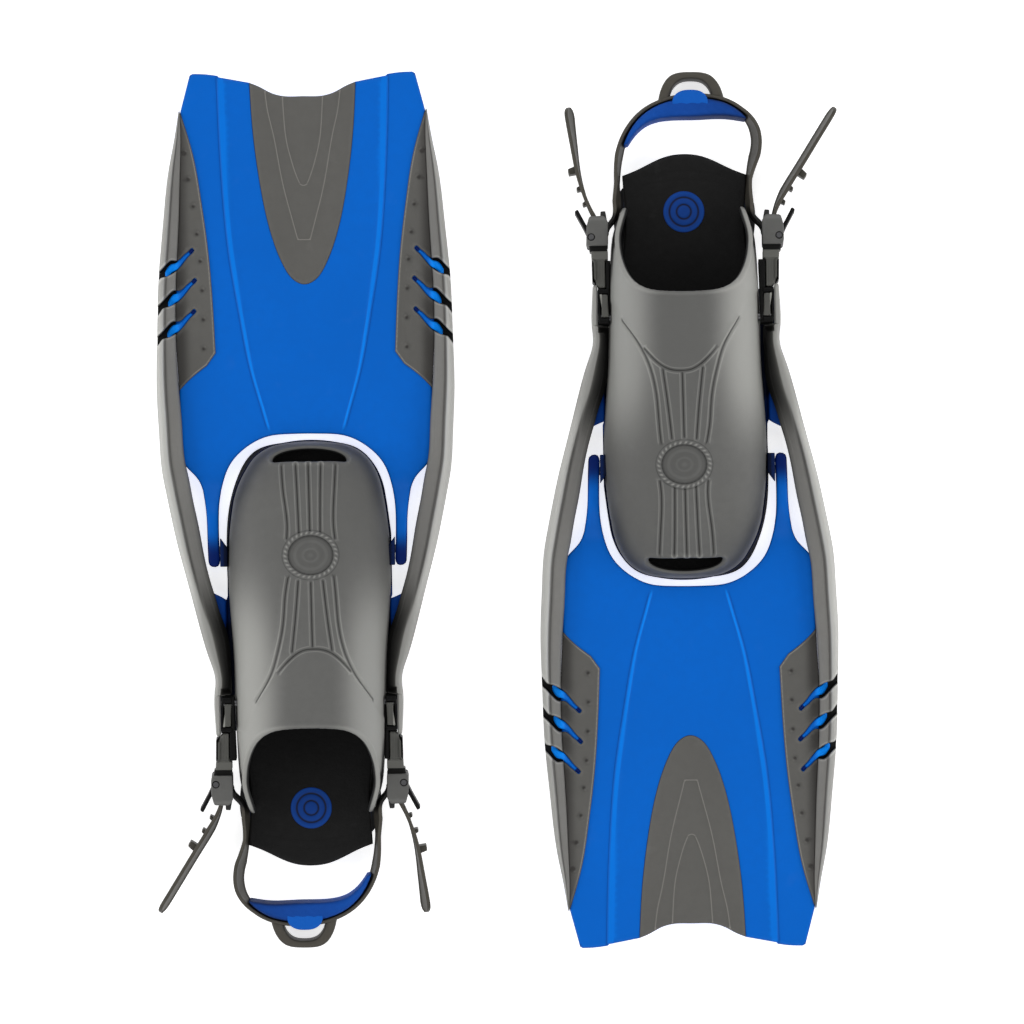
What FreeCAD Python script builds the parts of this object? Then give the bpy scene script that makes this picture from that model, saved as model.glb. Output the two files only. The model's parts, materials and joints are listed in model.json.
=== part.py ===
"""A pair of open-heel swim fins with pivoting blades, side rails and a buckled heel strap.

Lengths are millimetres.  Each fin is drawn in its own frame: x across the fin from its
centre line, y along it with the blade tip at +y, z up from the floor it lies on.
The first fin stands at -x with its tip at +y.  The second is the same fin turned half a
turn about z, so the pair balances about the origin.
"""

import FreeCAD, Part
import math
import os

Vector = FreeCAD.Vector
doc = FreeCAD.newDocument("swim_fins")

# ---------------------------------------------------------------- driving dimensions

SIZES = {
    "fin_spacing": 274,
    "sole_thick": 3,
    "frame_thick": 4,
    "pocket_floor": 2,
    "pocket_wall": 3.2,
    "footbed_thick": 5,
    "heel_bed_thick": 7,
    "blade_bottom": 10,
    "blade_thick": 4,
    "arm_bottom": 8,
    "arm_tall": 16,
    "insert_recess": 1.2,
    "insert_thick": 1.8,
    "panel_thick": 1.6,
    "stud_tall": 1.2,
    "rail_tall": 40,
    "pivot_y": -27,
    "pivot_z": 16,
    "pivot_radius": 3,
    "hinge_clearance": 0.05,
    "pivot_inner": 60.9,
    "pivot_length": 10,
    "cheek_tall": 20,
    "web_tall": 9,
    "post_y": -137,
    "post_z": 30,
    "post_radius": 3,
    "post_inner": 51.5,
    "post_length": 15.3,
    "ear_tall": 34,
    "strap_thick": 2.6,
    "strap_tall": 18,
    "strap_end_y": -314,
    "pad_tall": 24,
    "pad_lip": 1.6,
    "frame_block_tall": 16,
    "tongue_tall": 12,
    "button_tall": 15,
    "cheek_plate": 3,
    "bar_radius": 2,
    "lever_pin_radius": 2,
    "lever_pin_tall": 26,
    "lever_tall": 14,
}

sheet = doc.addObject("Spreadsheet::Sheet", "Sizes")
for row, (alias, value) in enumerate(SIZES.items(), start=1):
    sheet.set(f"A{row}", alias)
    sheet.set(f"B{row}", str(value))
    sheet.setAlias(f"B{row}", alias)
doc.recompute()


def size(alias):
    """One driving dimension, read from the sheet."""
    return float(sheet.get(alias))


SIDES = {"left": -1, "right": 1}

# ---------------------------------------------------------------- outlines, right half

TIP_NOTCH = [(0, 299.4), (13, 299.5), (24, 302.6), (31, 306.4), (38.5, 309.5)]
TIP_HORN = [(38.5, 309.5), (61, 314.5), (79, 316.3)]
BLADE_EDGE = [(81.2, 315), (88.3, 288)]
RAIL_INNER = [(88.3, 288), (88, 268), (88.6, 248), (90.2, 207), (92.4, 167), (93, 127), (91.1, 88)]
RAIL_ROOT = [(91.1, 88), (89.3, 56), (88, 30)]
RAIL_OUTER = [
    (89.6, 288), (92.9, 268), (96.8, 248), (101.5, 207), (105.1, 167), (106.4, 127), (107.1, 86),
    (105.7, 56), (103.9, 30),
]
SHOULDER = [(88, 30), (81.5, 25.5), (77.9, 16)]
ARM_OUTER = [(77.9, 16), (74.2, -4), (72, -20), (71, -34)]
ARM_TIP = [(71, -34), (69.5, -38), (64.6, -38), (63.1, -34)]
ARM_INNER = [(63.1, -34), (63.7, -4), (63.2, 6), (61.7, 16)]
TOE_GAP = [(61.7, 16), (59, 26), (54.5, 36), (44.6, 47), (27, 57), (0, 58)]
FLEX_INNER = [(88, 30), (84.4, 16), (81.2, -4), (76.5, -25), (72.8, -45), (70.5, -61)]
FLEX_OUTER = [(103.9, 30), (102.4, 16), (98.8, -4), (95.2, -25), (90.2, -45), (85.9, -61)]
REAR_INNER = [(70.5, -61), (68.5, -75), (66.6, -92)]
EAR_SIDE = [(66.6, -92), (65.7, -108)]
REAR_OUTER = [(85.9, -61), (79.4, -85), (72.9, -105), (67.9, -122), (67.6, -140), (67.9, -156)]
PANEL_INNER = [(64.6, 115), (66.6, 157), (70, 197), (74, 227), (78.4, 254), (87.3, 286)]
PANEL_HEEL = [(91.1, 88), (84, 95.6), (71, 106)]
INSERT_EDGE = [(38.5, 309.5), (36.7, 278), (31.7, 237), (23, 197), (15.1, 177), (7.9, 167), (0, 163.7)]
FRAME_TOE = [(0, 51.5), (27, 51), (38.3, 46.8), (48, 36.6), (53.2, 26), (56.4, 16), (59.5, -4), (60.8, -16)]
CHEEK = [(60.8, -16), (62.8, -16), (62.8, -38), (60.8, -38)]
EAR = [(63.7, -108), (65.7, -108), (65.7, -156), (63.7, -156)]
FRAME_HEEL = [(50, -128), (44, -150), (44, -234), (28, -243), (0, -247)]
FOOTBED_EDGE = [
    (0, 40), (30, 34), (44, 12), (50, -20), (50, -70), (47.5, -105), (46, -150), (44.5, -185),
    (42.5, -205), (42, -216.5),
]
FOOTBED_HEEL = [(45, -239), (22, -251), (0, -254.4)]

# half width and height of the pocket's outer skin, from toes to heel
POCKET_SECTIONS = [
    (50.5, 20, 20), (46, 36, 30), (38, 45.6, 38), (24, 53, 47), (0, 58, 57), (-30, 60, 66),
    (-65, 58.6, 74), (-100, 56.2, 80), (-135, 54.2, 84), (-165, 53.2, 84), (-186, 52, 80),
    (-198, 50.2, 78), (-214, 44, 74),
]
# the opening's edge, seen from the side: y along the fin and z up
POCKET_RIM = [(-151, 90), (-155.6, 79), (-166, 66), (-177, 55), (-190, 46), (-204, 34), (-216, 20)]
DRAIN_FRONT = [(-27, 37.8), (-24, 43.5), (0, 47.2), (24, 43.5), (27, 37.8)]
DRAIN_BACK = [(27, 37.8), (25, 36.4), (0, 37.4), (-25, 36.4), (-27, 37.8)]

GILL_TIPS = [(81, 187), (79, 166), (79.5, 143)]
STUDS = [
    (85, 260), (82.4, 241), (79, 221.5), (76.7, 201.5), (74.5, 182), (73.3, 161), (72.7, 140),
    (72.6, 119),
]

# centre lines of the strap: each free tail from its buckle, and the run round the heel
LEFT_TAIL = [
    (-62.8, -198.8), (-63.1, -205), (-65.2, -214), (-70.6, -226), (-81, -243), (-95, -265.5),
    (-109, -288),
]
RIGHT_TAIL = [
    (62.8, -198.8), (63.1, -205), (66.6, -213), (72, -226), (76.4, -243), (79, -261), (81, -276),
    (82.6, -290),
]
HEEL_ROUTE = [
    (-55.8, -198.8), (-54.8, -202), (-51, -208), (-48.4, -219), (-48, -232), (-50.6, -246),
    (-54, -260), (-52.5, -272.5), (-43.5, -285), (-28, -293.6), (-8, -296.4), (13, -293.6),
    (29.5, -285), (41.2, -270.5), (46.8, -254), (48.4, -236), (48.8, -219), (51.2, -208),
    (54.8, -202), (55.8, -198.8),
]
PAD_INNER = [
    (-44.5, -280.3), (-30, -281.2), (-8, -280.8), (14, -280.4), (27, -276.5), (36, -268.5),
    (41.5, -259.5),
]
PAD_LIP = [(-16.5, -288), (-16.5, -298.6), (-5, -300.2), (6.5, -298.6), (6.5, -288)]
LOOP_OUTER = [
    (-29.5, -293.2), (-26.5, -303), (-19.5, -311.5), (-5.5, -314), (9, -311.5), (15.5, -303),
    (18.5, -291.8),
]
LOOP_INNER = [
    (-20.5, -295.4), (-18.5, -302), (-13.5, -307.4), (-5.5, -309), (3, -307.4), (8, -302),
    (10, -294.6),
]


def mirrored(points):
    """The same points on the other side of the centre line, in reverse order."""
    return [(-x, y) for x, y in reversed(points)]


def sided(points, sign):
    """The same points on one side of the centre line: 1 keeps them, -1 mirrors them."""
    return [(sign * x, y) for x, y in points]


def both_halves(right):
    """A whole outline from the stretches of its right half, which run from centre line to centre line."""
    return right + [mirrored(stretch) for stretch in reversed(right)]


# ---------------------------------------------------------------- modelling helpers


def new_body(name):
    body = doc.addObject("PartDesign::Body", name)
    body.Label = name
    doc.recompute()
    return body


def new_sketch(body, role="XY_Plane", height=None):
    """A sketch on one of the body's origin planes, raised by an expression or a number."""
    sketch = body.newObject("Sketcher::SketchObject", "Outline")
    plane = next(o for o in body.Origin.OriginFeatures if o.Role == role)
    sketch.AttachmentSupport = [(plane, "")]
    sketch.MapMode = "FlatFace"
    if isinstance(height, str):
        sketch.setExpression("AttachmentOffset.Base.z", height)
    elif height is not None:
        sketch.AttachmentOffset = FreeCAD.Placement(Vector(0, 0, height), FreeCAD.Rotation())
    return sketch


def draw(sketch, *stretches):
    """Draw a closed outline from stretches: a list of two points is a line, more are a curve.

    Where one stretch doesn't start where the last one ended, a line joins them.
    """
    last = first = None
    for stretch in stretches:
        points = [Vector(x, y, 0) for x, y in stretch]
        if last is not None and last.distanceToPoint(points[0]) > 1e-6:
            sketch.addGeometry(Part.LineSegment(last, points[0]))
        if len(points) == 2:
            sketch.addGeometry(Part.LineSegment(points[0], points[1]))
        elif len(points) > 2:
            curve = Part.BSplineCurve()
            curve.interpolate(points)
            sketch.addGeometry(curve)
        first = points[0] if first is None else first
        last = points[-1]
    if last.distanceToPoint(first) > 1e-6:
        sketch.addGeometry(Part.LineSegment(last, first))


def polygon(sketch, points):
    """Draw a closed outline of straight lines."""
    corners = [Vector(x, y, 0) for x, y in points]
    for start, end in zip(corners, corners[1:] + corners[:1]):
        sketch.addGeometry(Part.LineSegment(start, end))


def circle(sketch, centre, radius):
    sketch.addGeometry(Part.Circle(Vector(*centre, 0), Vector(0, 0, 1), radius))


def pad(body, sketch, length):
    feature = body.newObject("PartDesign::Pad", "Pad")
    feature.Profile = sketch
    if isinstance(length, str):
        feature.setExpression("Length", length)
    else:
        feature.Length = length
    doc.recompute()
    return feature


def cut(body, sketch, length=None, upwards=False):
    """Cut a sketch out of the body, right through unless a length is given."""
    before = body.Shape.Volume
    feature = body.newObject("PartDesign::Pocket", "Cut")
    feature.Profile = sketch
    if length is None:
        feature.Type = "ThroughAll"
        feature.SideType = "Symmetric"
    elif isinstance(length, str):
        feature.setExpression("Length", length)
    else:
        feature.Length = length
    feature.Reversed = upwards
    doc.recompute()
    if not body.Shape.Volume < before - 0.01:
        raise ValueError(f"{body.Label}: a cut took nothing away")
    return feature


def block(body, corners, sign, height, tall):
    """Add a straight-sided block to a body."""
    sketch = new_sketch(body, height=height)
    polygon(sketch, sided(corners, sign))
    return pad(body, sketch, tall)


def window(body, corners, sign, height, tall):
    sketch = new_sketch(body, height=height)
    polygon(sketch, sided(corners, sign))
    return cut(body, sketch, tall, upwards=True)


def plate(name, height, thickness, *stretches):
    """A body of even thickness with a curved outline."""
    body = new_body(name)
    sketch = new_sketch(body, height=height)
    draw(sketch, *stretches)
    pad(body, sketch, thickness)
    return body


def cross_hole(body, y, z, radius):
    """Bore a hole along x."""
    sketch = new_sketch(body, "YZ_Plane")
    circle(sketch, (y, z), radius)
    return cut(body, sketch)


def cross_pin(name, inner, length, radius, y, z):
    """A matching pair of pins along x, one on each side of the fin."""
    pins = []
    for side, sign in SIDES.items():
        pin = doc.addObject("Part::Cylinder", f"{name}_{side}_pin")
        pin.setExpression("Radius", f"Sizes.{radius}")
        pin.setExpression("Height", f"Sizes.{length}")
        place = Vector(sign * size(inner), size(y), size(z))
        pin.Placement = FreeCAD.Placement(place, FreeCAD.Rotation(Vector(0, 1, 0), 90 * sign))
        pins.append(pin)
    group = doc.addObject("Part::Compound", name)
    group.Links = pins
    group.Label = name
    return group


def side_cut(body, profile):
    """Cut away a region drawn in the side view, y along the fin and z up."""
    sketch = new_sketch(body, "YZ_Plane")
    draw(sketch, *profile)
    return cut(body, sketch)


# ---------------------------------------------------------------- blade and rails


GILL_SLOPE = -12.0 / 25.0
GILL_SPREAD = 2.4 / 25.0


def gill(tip, sign, start, reach, margin=0.0):
    """One gill between two distances from the centre line, widening outwards and leaning to the heel."""
    corners = []
    for x in (start, reach):
        middle = tip[1] + GILL_SLOPE * (x - tip[0])
        half = 1.0 + GILL_SPREAD * (x - tip[0]) + margin
        corners.append(((x, middle + half), (x, middle - half)))
    (upper, lower), (far_upper, far_lower) = corners
    return sided([upper, far_upper, far_lower, lower], sign)


def build_blade(name):
    tip = [TIP_NOTCH, TIP_HORN, BLADE_EDGE]
    side = [RAIL_INNER, RAIL_ROOT, SHOULDER]
    arm_edge = [ARM_OUTER, ARM_TIP, ARM_INNER]
    outline = both_halves([*tip, *side, *arm_edge, TOE_GAP])
    body = plate(name, "Sizes.blade_bottom", "Sizes.blade_thick", *outline)
    for sign in SIDES.values():
        arm = new_sketch(body, height="Sizes.arm_bottom")
        draw(arm, *[sided(stretch, sign) for stretch in arm_edge])
        pad(body, arm, "Sizes.arm_tall")
        for tip in GILL_TIPS:
            core = new_sketch(body, height="Sizes.blade_bottom")
            polygon(core, gill(tip, sign, 89.0, 99.5))
            pad(body, core, "Sizes.blade_thick")
    cross_hole(body, size("pivot_y"), size("pivot_z"), size("pivot_radius") + size("hinge_clearance"))
    recess = new_sketch(body, height="Sizes.blade_bottom + Sizes.blade_thick")
    beyond = [(-38.5, 309.5), (-38.5, 320), (38.5, 320), (38.5, 309.5)]
    draw(recess, INSERT_EDGE, mirrored(INSERT_EDGE), beyond[:2], beyond[1:3], beyond[2:])
    cut(body, recess, "Sizes.insert_recess")
    return body


def build_insert(name):
    height = "Sizes.blade_bottom + Sizes.blade_thick - Sizes.insert_recess"
    return plate(name, height, "Sizes.insert_thick", *both_halves([TIP_NOTCH, INSERT_EDGE]))


def panel_outline(sign):
    corner = [(71, 106), (64.6, 115)]
    return [sided(stretch, sign) for stretch in (RAIL_INNER, PANEL_HEEL, corner, PANEL_INNER)]


def build_panel(name, sign):
    body = plate(name, "Sizes.blade_bottom + Sizes.blade_thick", "Sizes.panel_thick", *panel_outline(sign))
    studs = new_sketch(body, height="Sizes.blade_bottom + Sizes.blade_thick")
    for x, y in STUDS:
        circle(studs, (sign * x, y), 2.0)
    pad(body, studs, "Sizes.panel_thick + Sizes.stud_tall")
    gills = new_sketch(body, height="Sizes.blade_bottom")
    for tip in GILL_TIPS:
        polygon(gills, gill(tip, sign, tip[0], 112.0))
    cut(body, gills, 12.0, upwards=True)
    return body


ABOVE = 60
BELOW = -5
RAIL_FRONT_TOP = [(300, 15), (250, 18.5), (200, 22.5), (150, 25.5), (100, 27.5), (29, 29)]
RAIL_FLEX_TOP = [(31, 29), (-15, 30.2), (-62, 32)]
RAIL_REAR_TOP = [(-60, 32), (-100, 36), (-137, 37), (-150, 36), (-158, 33)]
RAIL_FRONT_BOTTOM = [(300, 7), (250, 4), (200, 1.2), (180, 0)]
RAIL_REAR_BOTTOM = [(-60, 0), (-85, 2), (-110, 14), (-135, 20), (-158, 22)]


def trim_side(body, top, bottom=None):
    """Give a rail its height: cut away all above its top line and below its bottom line."""
    for line, clear in ((top, ABOVE), (bottom, BELOW)):
        if line:
            (first, _), (last, height) = line[0], line[-1]
            side_cut(body, [line, [(last, height), (last, clear)], [(last, clear), (first, clear)]])


def build_rail(name, sign, inner, outer, top, bottom=None):
    """A stretch of side rail: inner holds the stretches of its inner edge."""
    edges = [sided(stretch, sign) for stretch in (*inner, outer[::-1])]
    body = plate(name, None, "Sizes.rail_tall", *edges)
    trim_side(body, top, bottom)
    return body


def build_rail_front(name, sign):
    body = build_rail(name, sign, [RAIL_INNER, RAIL_ROOT], RAIL_OUTER, RAIL_FRONT_TOP, RAIL_FRONT_BOTTOM)
    gills = new_sketch(body, height="Sizes.blade_bottom")
    for tip in GILL_TIPS:
        polygon(gills, gill(tip, sign, tip[0], 112.0))
    cut(body, gills, 40.0, upwards=True)
    return body


def build_rail_rear(name, sign):
    inner = [REAR_INNER, EAR_SIDE, [(65.7, -108), (65.7, -156)]]
    body = build_rail(name, sign, inner, REAR_OUTER, RAIL_REAR_TOP, RAIL_REAR_BOTTOM)
    cross_hole(body, size("post_y"), size("post_z"), size("post_radius"))
    return body


# ---------------------------------------------------------------- foot


def dome(sketch, half_width, top, bottom, steps=12):
    """Cross-section of the pocket: a flat floor under a rounded, squarish arch."""
    arch = []
    for step in range(steps + 1):
        angle = math.pi * step / steps
        across = math.copysign(abs(math.cos(angle)) ** 0.78, math.cos(angle))
        arch.append((half_width * across, bottom + (top - bottom) * math.sin(angle) ** 0.8))
    arch[0] = (half_width, bottom)
    arch[-1] = (-half_width, bottom)
    draw(sketch, arch)


def loft(body, kind, sections, wall, bottom):
    """Loft the pocket's skin, or its hollow when a wall thickness is taken off it."""
    sketches = []
    for y, half_width, top in sections:
        sketch = new_sketch(body, "XZ_Plane", -y)
        dome(sketch, half_width - wall, top - wall, bottom)
        sketches.append(sketch)
    feature = body.newObject(f"PartDesign::{kind}Loft", "Skin")
    feature.Profile = sketches[0]
    feature.Sections = sketches[1:]
    feature.Ruled = True
    doc.recompute()
    return feature


def build_pocket(name):
    body = new_body(name)
    bottom = size("sole_thick") + size("frame_thick")
    loft(body, "Additive", POCKET_SECTIONS, 0.0, bottom)
    inside = [(y - 4.5 if y > 40 else y, w, t) for y, w, t in POCKET_SECTIONS[:-1]]
    inside.append((-225, 46, 74))
    loft(body, "Subtractive", inside, size("pocket_wall"), bottom + size("pocket_floor"))
    behind = [[(-240, 20), (-240, 95)], [(-240, 95), (-151, 95)]]
    side_cut(body, [POCKET_RIM, [POCKET_RIM[-1], (-240, 20)], *behind])
    slot = new_sketch(body, height=22.0)
    draw(slot, DRAIN_FRONT, DRAIN_BACK)
    cut(body, slot, 60.0, upwards=True)
    cross_hole(body, size("post_y"), size("post_z"), size("post_radius"))
    return body


WEB_FRONT = [(60.8, -60), (70.5, -61)]


def frame_outline():
    cheek = [[(60.8, -16), (62.8, -16)], [(62.8, -16), (62.8, -38)], [(62.8, -38), (60.8, -38)]]
    side = [[(60.8, -38), (60.8, -60)], WEB_FRONT, REAR_INNER, EAR_SIDE, [(65.7, -108), (65.7, -125)]]
    return both_halves([FRAME_TOE, *cheek, *side, [(65.7, -125), (50, -128)], FRAME_HEEL])


def build_frame(name):
    """The chassis: a plate under the pocket, webs out to the rails, pivot cheeks and strap ears."""
    body = plate(name, "Sizes.sole_thick", "Sizes.frame_thick", *frame_outline())
    for sign in SIDES.values():
        block(body, CHEEK, sign, "Sizes.sole_thick", "Sizes.cheek_tall")
        web = new_sketch(body, height="Sizes.sole_thick")
        web_edge = [WEB_FRONT, REAR_INNER, [(66.6, -92), (60.8, -92)]]
        draw(web, *[sided(stretch, sign) for stretch in web_edge])
        pad(body, web, "Sizes.web_tall")
        block(body, EAR, sign, "Sizes.sole_thick", "Sizes.ear_tall")
    cross_hole(body, size("pivot_y"), size("pivot_z"), size("pivot_radius"))
    cross_hole(body, size("post_y"), size("post_z"), size("post_radius"))
    return body


def build_sole(name):
    """Rubber sole under the chassis, a little inside its edge."""
    toe = [(0, 49), (27, 48.5), (37, 44.5), (50, 26), (57, 0), (58.5, -30), (56, -80), (50, -125)]
    right = [toe, [(50, -125), (43, -150), (43, -232), (27, -241), (0, -245)]]
    return plate(name, None, "Sizes.sole_thick", *both_halves(right))


def build_footbed(name):
    """Footbed inside the pocket, thicker behind it where the heel stands."""
    bottom = "Sizes.sole_thick + Sizes.frame_thick + Sizes.pocket_floor"
    body = plate(name, bottom, "Sizes.footbed_thick", FOOTBED_EDGE, mirrored(FOOTBED_EDGE))
    heel = new_sketch(body, height="Sizes.sole_thick + Sizes.frame_thick")
    draw(heel, *both_halves([[(0, -216.5), (44.9, -216.5)], [(44.9, -216.5), (45, -239)], FOOTBED_HEEL]))
    pad(body, heel, "Sizes.heel_bed_thick")
    return body


# ---------------------------------------------------------------- heel strap and buckles

# The strap, its pad and its buckles are drawn level with the posts, then tipped back about
# the posts until the finger loop rests on the floor.


def strap_tilt():
    """Angle that brings the strap's lower edge down to the floor at its far end."""
    drop = size("post_z")
    half = size("strap_tall") / 2
    reach = size("post_y") - size("strap_end_y")
    return math.atan2(drop, math.sqrt(reach**2 + half**2 - drop**2)) - math.atan2(half, reach)


def tipped(body):
    """Tip one piece of the strap back about the posts."""
    centre = Vector(0, size("post_y"), size("post_z"))
    turn = FreeCAD.Rotation(Vector(1, 0, 0), math.degrees(strap_tilt()))
    body.Placement = FreeCAD.Placement(Vector(), turn, centre)
    return body


def smooth(route):
    """A smooth curve through a route's points."""
    curve = Part.BSplineCurve()
    curve.interpolate([Vector(x, y, 0) for x, y in route])
    return curve


def beside(curve, start, end, distance, count):
    """Points at an even distance to the left of a stretch of a curve."""
    points = []
    for step in range(count + 1):
        at = start + (end - start) * step / count
        along = curve.tangent(at)[0]
        point = curve.value(at) + Vector(-along.y, along.x, 0) * distance
        points.append((point.x, point.y))
    return points


def add_band(body, route, height):
    """Add a band of the strap's thickness that stands on edge along a route."""
    curve = smooth(route)
    ends = curve.FirstParameter, curve.LastParameter
    half = size("strap_thick") / 2
    count = 2 * (len(route) - 1)
    sketch = new_sketch(body, height=height)
    draw(sketch, beside(curve, *ends, half, count), list(reversed(beside(curve, *ends, -half, count))))
    pad(body, sketch, "Sizes.strap_tall")


def add_turn(body, sign, height):
    """The half turn that the strap makes round the bar of a buckle head."""
    x, y = sign * TURN_CENTRE[0], TURN_CENTRE[1]
    inside = size("bar_radius") + 0.2
    outside = inside + size("strap_thick")
    sketch = new_sketch(body, height=height)
    for radius in (inside, outside):
        start, middle, end = Vector(x - radius, y, 0), Vector(x, y + radius, 0), Vector(x + radius, y, 0)
        sketch.addGeometry(Part.Arc(start, middle, end))
    for way in (-1, 1):
        near, far = Vector(x + way * inside, y, 0), Vector(x + way * outside, y, 0)
        sketch.addGeometry(Part.LineSegment(near, far))
    pad(body, sketch, "Sizes.strap_tall")


def build_strap(name):
    body = new_body(name)
    bottom = "Sizes.post_z - Sizes.strap_tall / 2"
    add_band(body, HEEL_ROUTE, bottom)
    loop = new_sketch(body, height=bottom)
    draw(loop, LOOP_OUTER, list(reversed(LOOP_INNER)))
    pad(body, loop, "Sizes.strap_tall")
    for tail, sign in ((LEFT_TAIL, -1), (RIGHT_TAIL, 1)):
        add_turn(body, sign, bottom)
        add_band(body, tail, bottom)
        add_teeth(body, smooth(tail), sign)
    return body


TEETH = [(19, 3.0, 3.2), (30, 3.4, 3.6), (43, 5.5, 6.5)]


def add_teeth(body, tail, sign):
    """Ratchet teeth on the outer side of a free tail, and the larger stop peg after them.

    Each is given by its distance along the tail, its length and how far it stands out.
    """
    for distance, length, proud in TEETH:
        at = tail.parameterAtDistance(distance, tail.FirstParameter)
        point = tail.value(at)
        forward = tail.tangent(at)[0]
        outward = Vector(-forward.y, forward.x, 0)
        if outward.x * sign < 0:
            outward = outward * -1
        corners = [
            point - forward * length / 2,
            point - forward * length / 2 + outward * proud,
            point + forward * length / 4 + outward * proud,
            point + forward * length / 2,
        ]
        sketch = new_sketch(body, height="Sizes.post_z - Sizes.strap_tall / 3")
        polygon(sketch, [(corner.x, corner.y) for corner in corners])
        pad(body, sketch, "Sizes.strap_tall * 2 / 3")


def build_heel_pad(name):
    """Pad inside the strap: its outer side follows the strap, and a lip lies over it."""
    body = new_body(name)
    curve = smooth(HEEL_ROUTE)
    start = curve.parameter(Vector(-47.5, -281, 0))
    end = curve.parameter(Vector(44.6, -262, 0))
    outer = beside(curve, start, end, size("strap_thick") / 2 + 0.2, 12)
    sketch = new_sketch(body, height="Sizes.post_z - Sizes.pad_tall / 2")
    draw(sketch, PAD_INNER, list(reversed(outer)))
    pad(body, sketch, "Sizes.pad_tall")
    lip = new_sketch(body, height="Sizes.post_z + Sizes.strap_tall / 2 + 0.3")
    draw(lip, PAD_LIP)
    pad(body, lip, "Sizes.pad_lip")
    return body


FRAME_BLOCK = [
    (54.7, -133), (63.3, -133), (63.3, -161), (67, -162.6), (67.3, -177.6), (56.8, -177.6),
    (54.9, -156),
]
BUTTON_WINDOW = [(57.2, -142.5), (61.4, -142.5), (61.4, -156), (57.8, -156)]
TONGUE_WINDOW = [(59.2, -161.8), (65.4, -163.6), (65.6, -180), (59.4, -180)]
BUTTON = [(58.3, -143.5), (61.0, -143.5), (61.0, -155), (58.7, -155)]
TONGUE = [
    (59.6, -163), (65, -164.4), (65.2, -178), (67.2, -178.2), (67.6, -184.6), (57.4, -184.6),
    (57, -178.2), (59.8, -178),
]
TONGUE_NECK = [(60, -184.5), (67.4, -184.5), (67.4, -187), (60, -187)]
HEAD_PLATE = [(55.6, -187), (70.4, -187), (71.2, -200), (68.6, -209.6), (58.4, -210.4), (55.2, -203)]
HEAD_WALL = [(55.8, -187), (70.3, -187), (70.5, -190.4), (56, -190.4)]
TURN_CENTRE = (59.3, -199.5)
LEVER_PIN = (67.5, -194)
LEVER_ARM = [(65.6, -195.6), (69.6, -193.4), (74.3, -202), (80.4, -214.6), (77.6, -216), (71.4, -203.4)]


def build_buckle_frame(name, sign):
    body = new_body(name)
    base = "Sizes.post_z - Sizes.frame_block_tall / 2"
    block(body, FRAME_BLOCK, sign, base, "Sizes.frame_block_tall")
    window(body, BUTTON_WINDOW, sign, size("post_z") - 0.5, 20.0)
    window(body, TONGUE_WINDOW, sign, size("post_z") - 12.0, 30.0)
    cross_hole(body, size("post_y"), size("post_z"), size("post_radius") + size("hinge_clearance"))
    return tipped(body)


def build_tongue(name, sign):
    body = new_body(name)
    base = "Sizes.post_z - Sizes.tongue_tall / 2"
    block(body, TONGUE, sign, base, "Sizes.tongue_tall")
    block(body, TONGUE_NECK, sign, base, "Sizes.tongue_tall")
    return tipped(body)


def build_button(name, sign):
    body = new_body(name)
    block(body, BUTTON, sign, "Sizes.post_z + 1.3", "Sizes.button_tall / 2")
    return tipped(body)


def build_head(name, sign):
    """Two cheek plates joined by a wall and by the bar that the strap turns round."""
    body = new_body(name)
    low = "Sizes.post_z - Sizes.strap_tall / 2 - 0.5 - Sizes.cheek_plate"
    high = "Sizes.post_z + Sizes.strap_tall / 2 + 0.5"
    whole = "Sizes.strap_tall + 1 + 2 * Sizes.cheek_plate"
    block(body, HEAD_WALL, sign, low, whole)
    block(body, HEAD_PLATE, sign, low, "Sizes.cheek_plate")
    bar = new_sketch(body, height=low)
    circle(bar, (sign * TURN_CENTRE[0], TURN_CENTRE[1]), size("bar_radius"))
    pad(body, bar, whole)
    block(body, HEAD_PLATE, sign, high, "Sizes.cheek_plate")
    hole = new_sketch(body)
    circle(hole, (sign * LEVER_PIN[0], LEVER_PIN[1]), size("lever_pin_radius"))
    cut(body, hole)
    return tipped(body)


def build_lever(name, sign):
    body = new_body(name)
    base = "Sizes.post_z - Sizes.lever_tall / 2"
    eye = new_sketch(body, height=base)
    circle(eye, (sign * LEVER_PIN[0], LEVER_PIN[1]), size("lever_pin_radius") + 1.4)
    pad(body, eye, "Sizes.lever_tall")
    block(body, LEVER_ARM, sign, base, "Sizes.lever_tall")
    hole = new_sketch(body)
    circle(hole, (sign * LEVER_PIN[0], LEVER_PIN[1]), size("lever_pin_radius") + size("hinge_clearance"))
    cut(body, hole)
    return tipped(body)


def build_lever_pins(name):
    pins = []
    for side, sign in SIDES.items():
        pin = doc.addObject("Part::Cylinder", f"{name}_{side}_pin")
        pin.setExpression("Radius", "Sizes.lever_pin_radius")
        pin.setExpression("Height", "Sizes.lever_pin_tall")
        x, y = LEVER_PIN
        foot = size("post_z") - size("lever_pin_tall") / 2
        pin.Placement = FreeCAD.Placement(Vector(sign * x, y, foot), FreeCAD.Rotation())
        pins.append(pin)
    group = doc.addObject("Part::Compound", name)
    group.Links = pins
    group.Label = name
    return tipped(group)


# ---------------------------------------------------------------- the two fins


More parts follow.
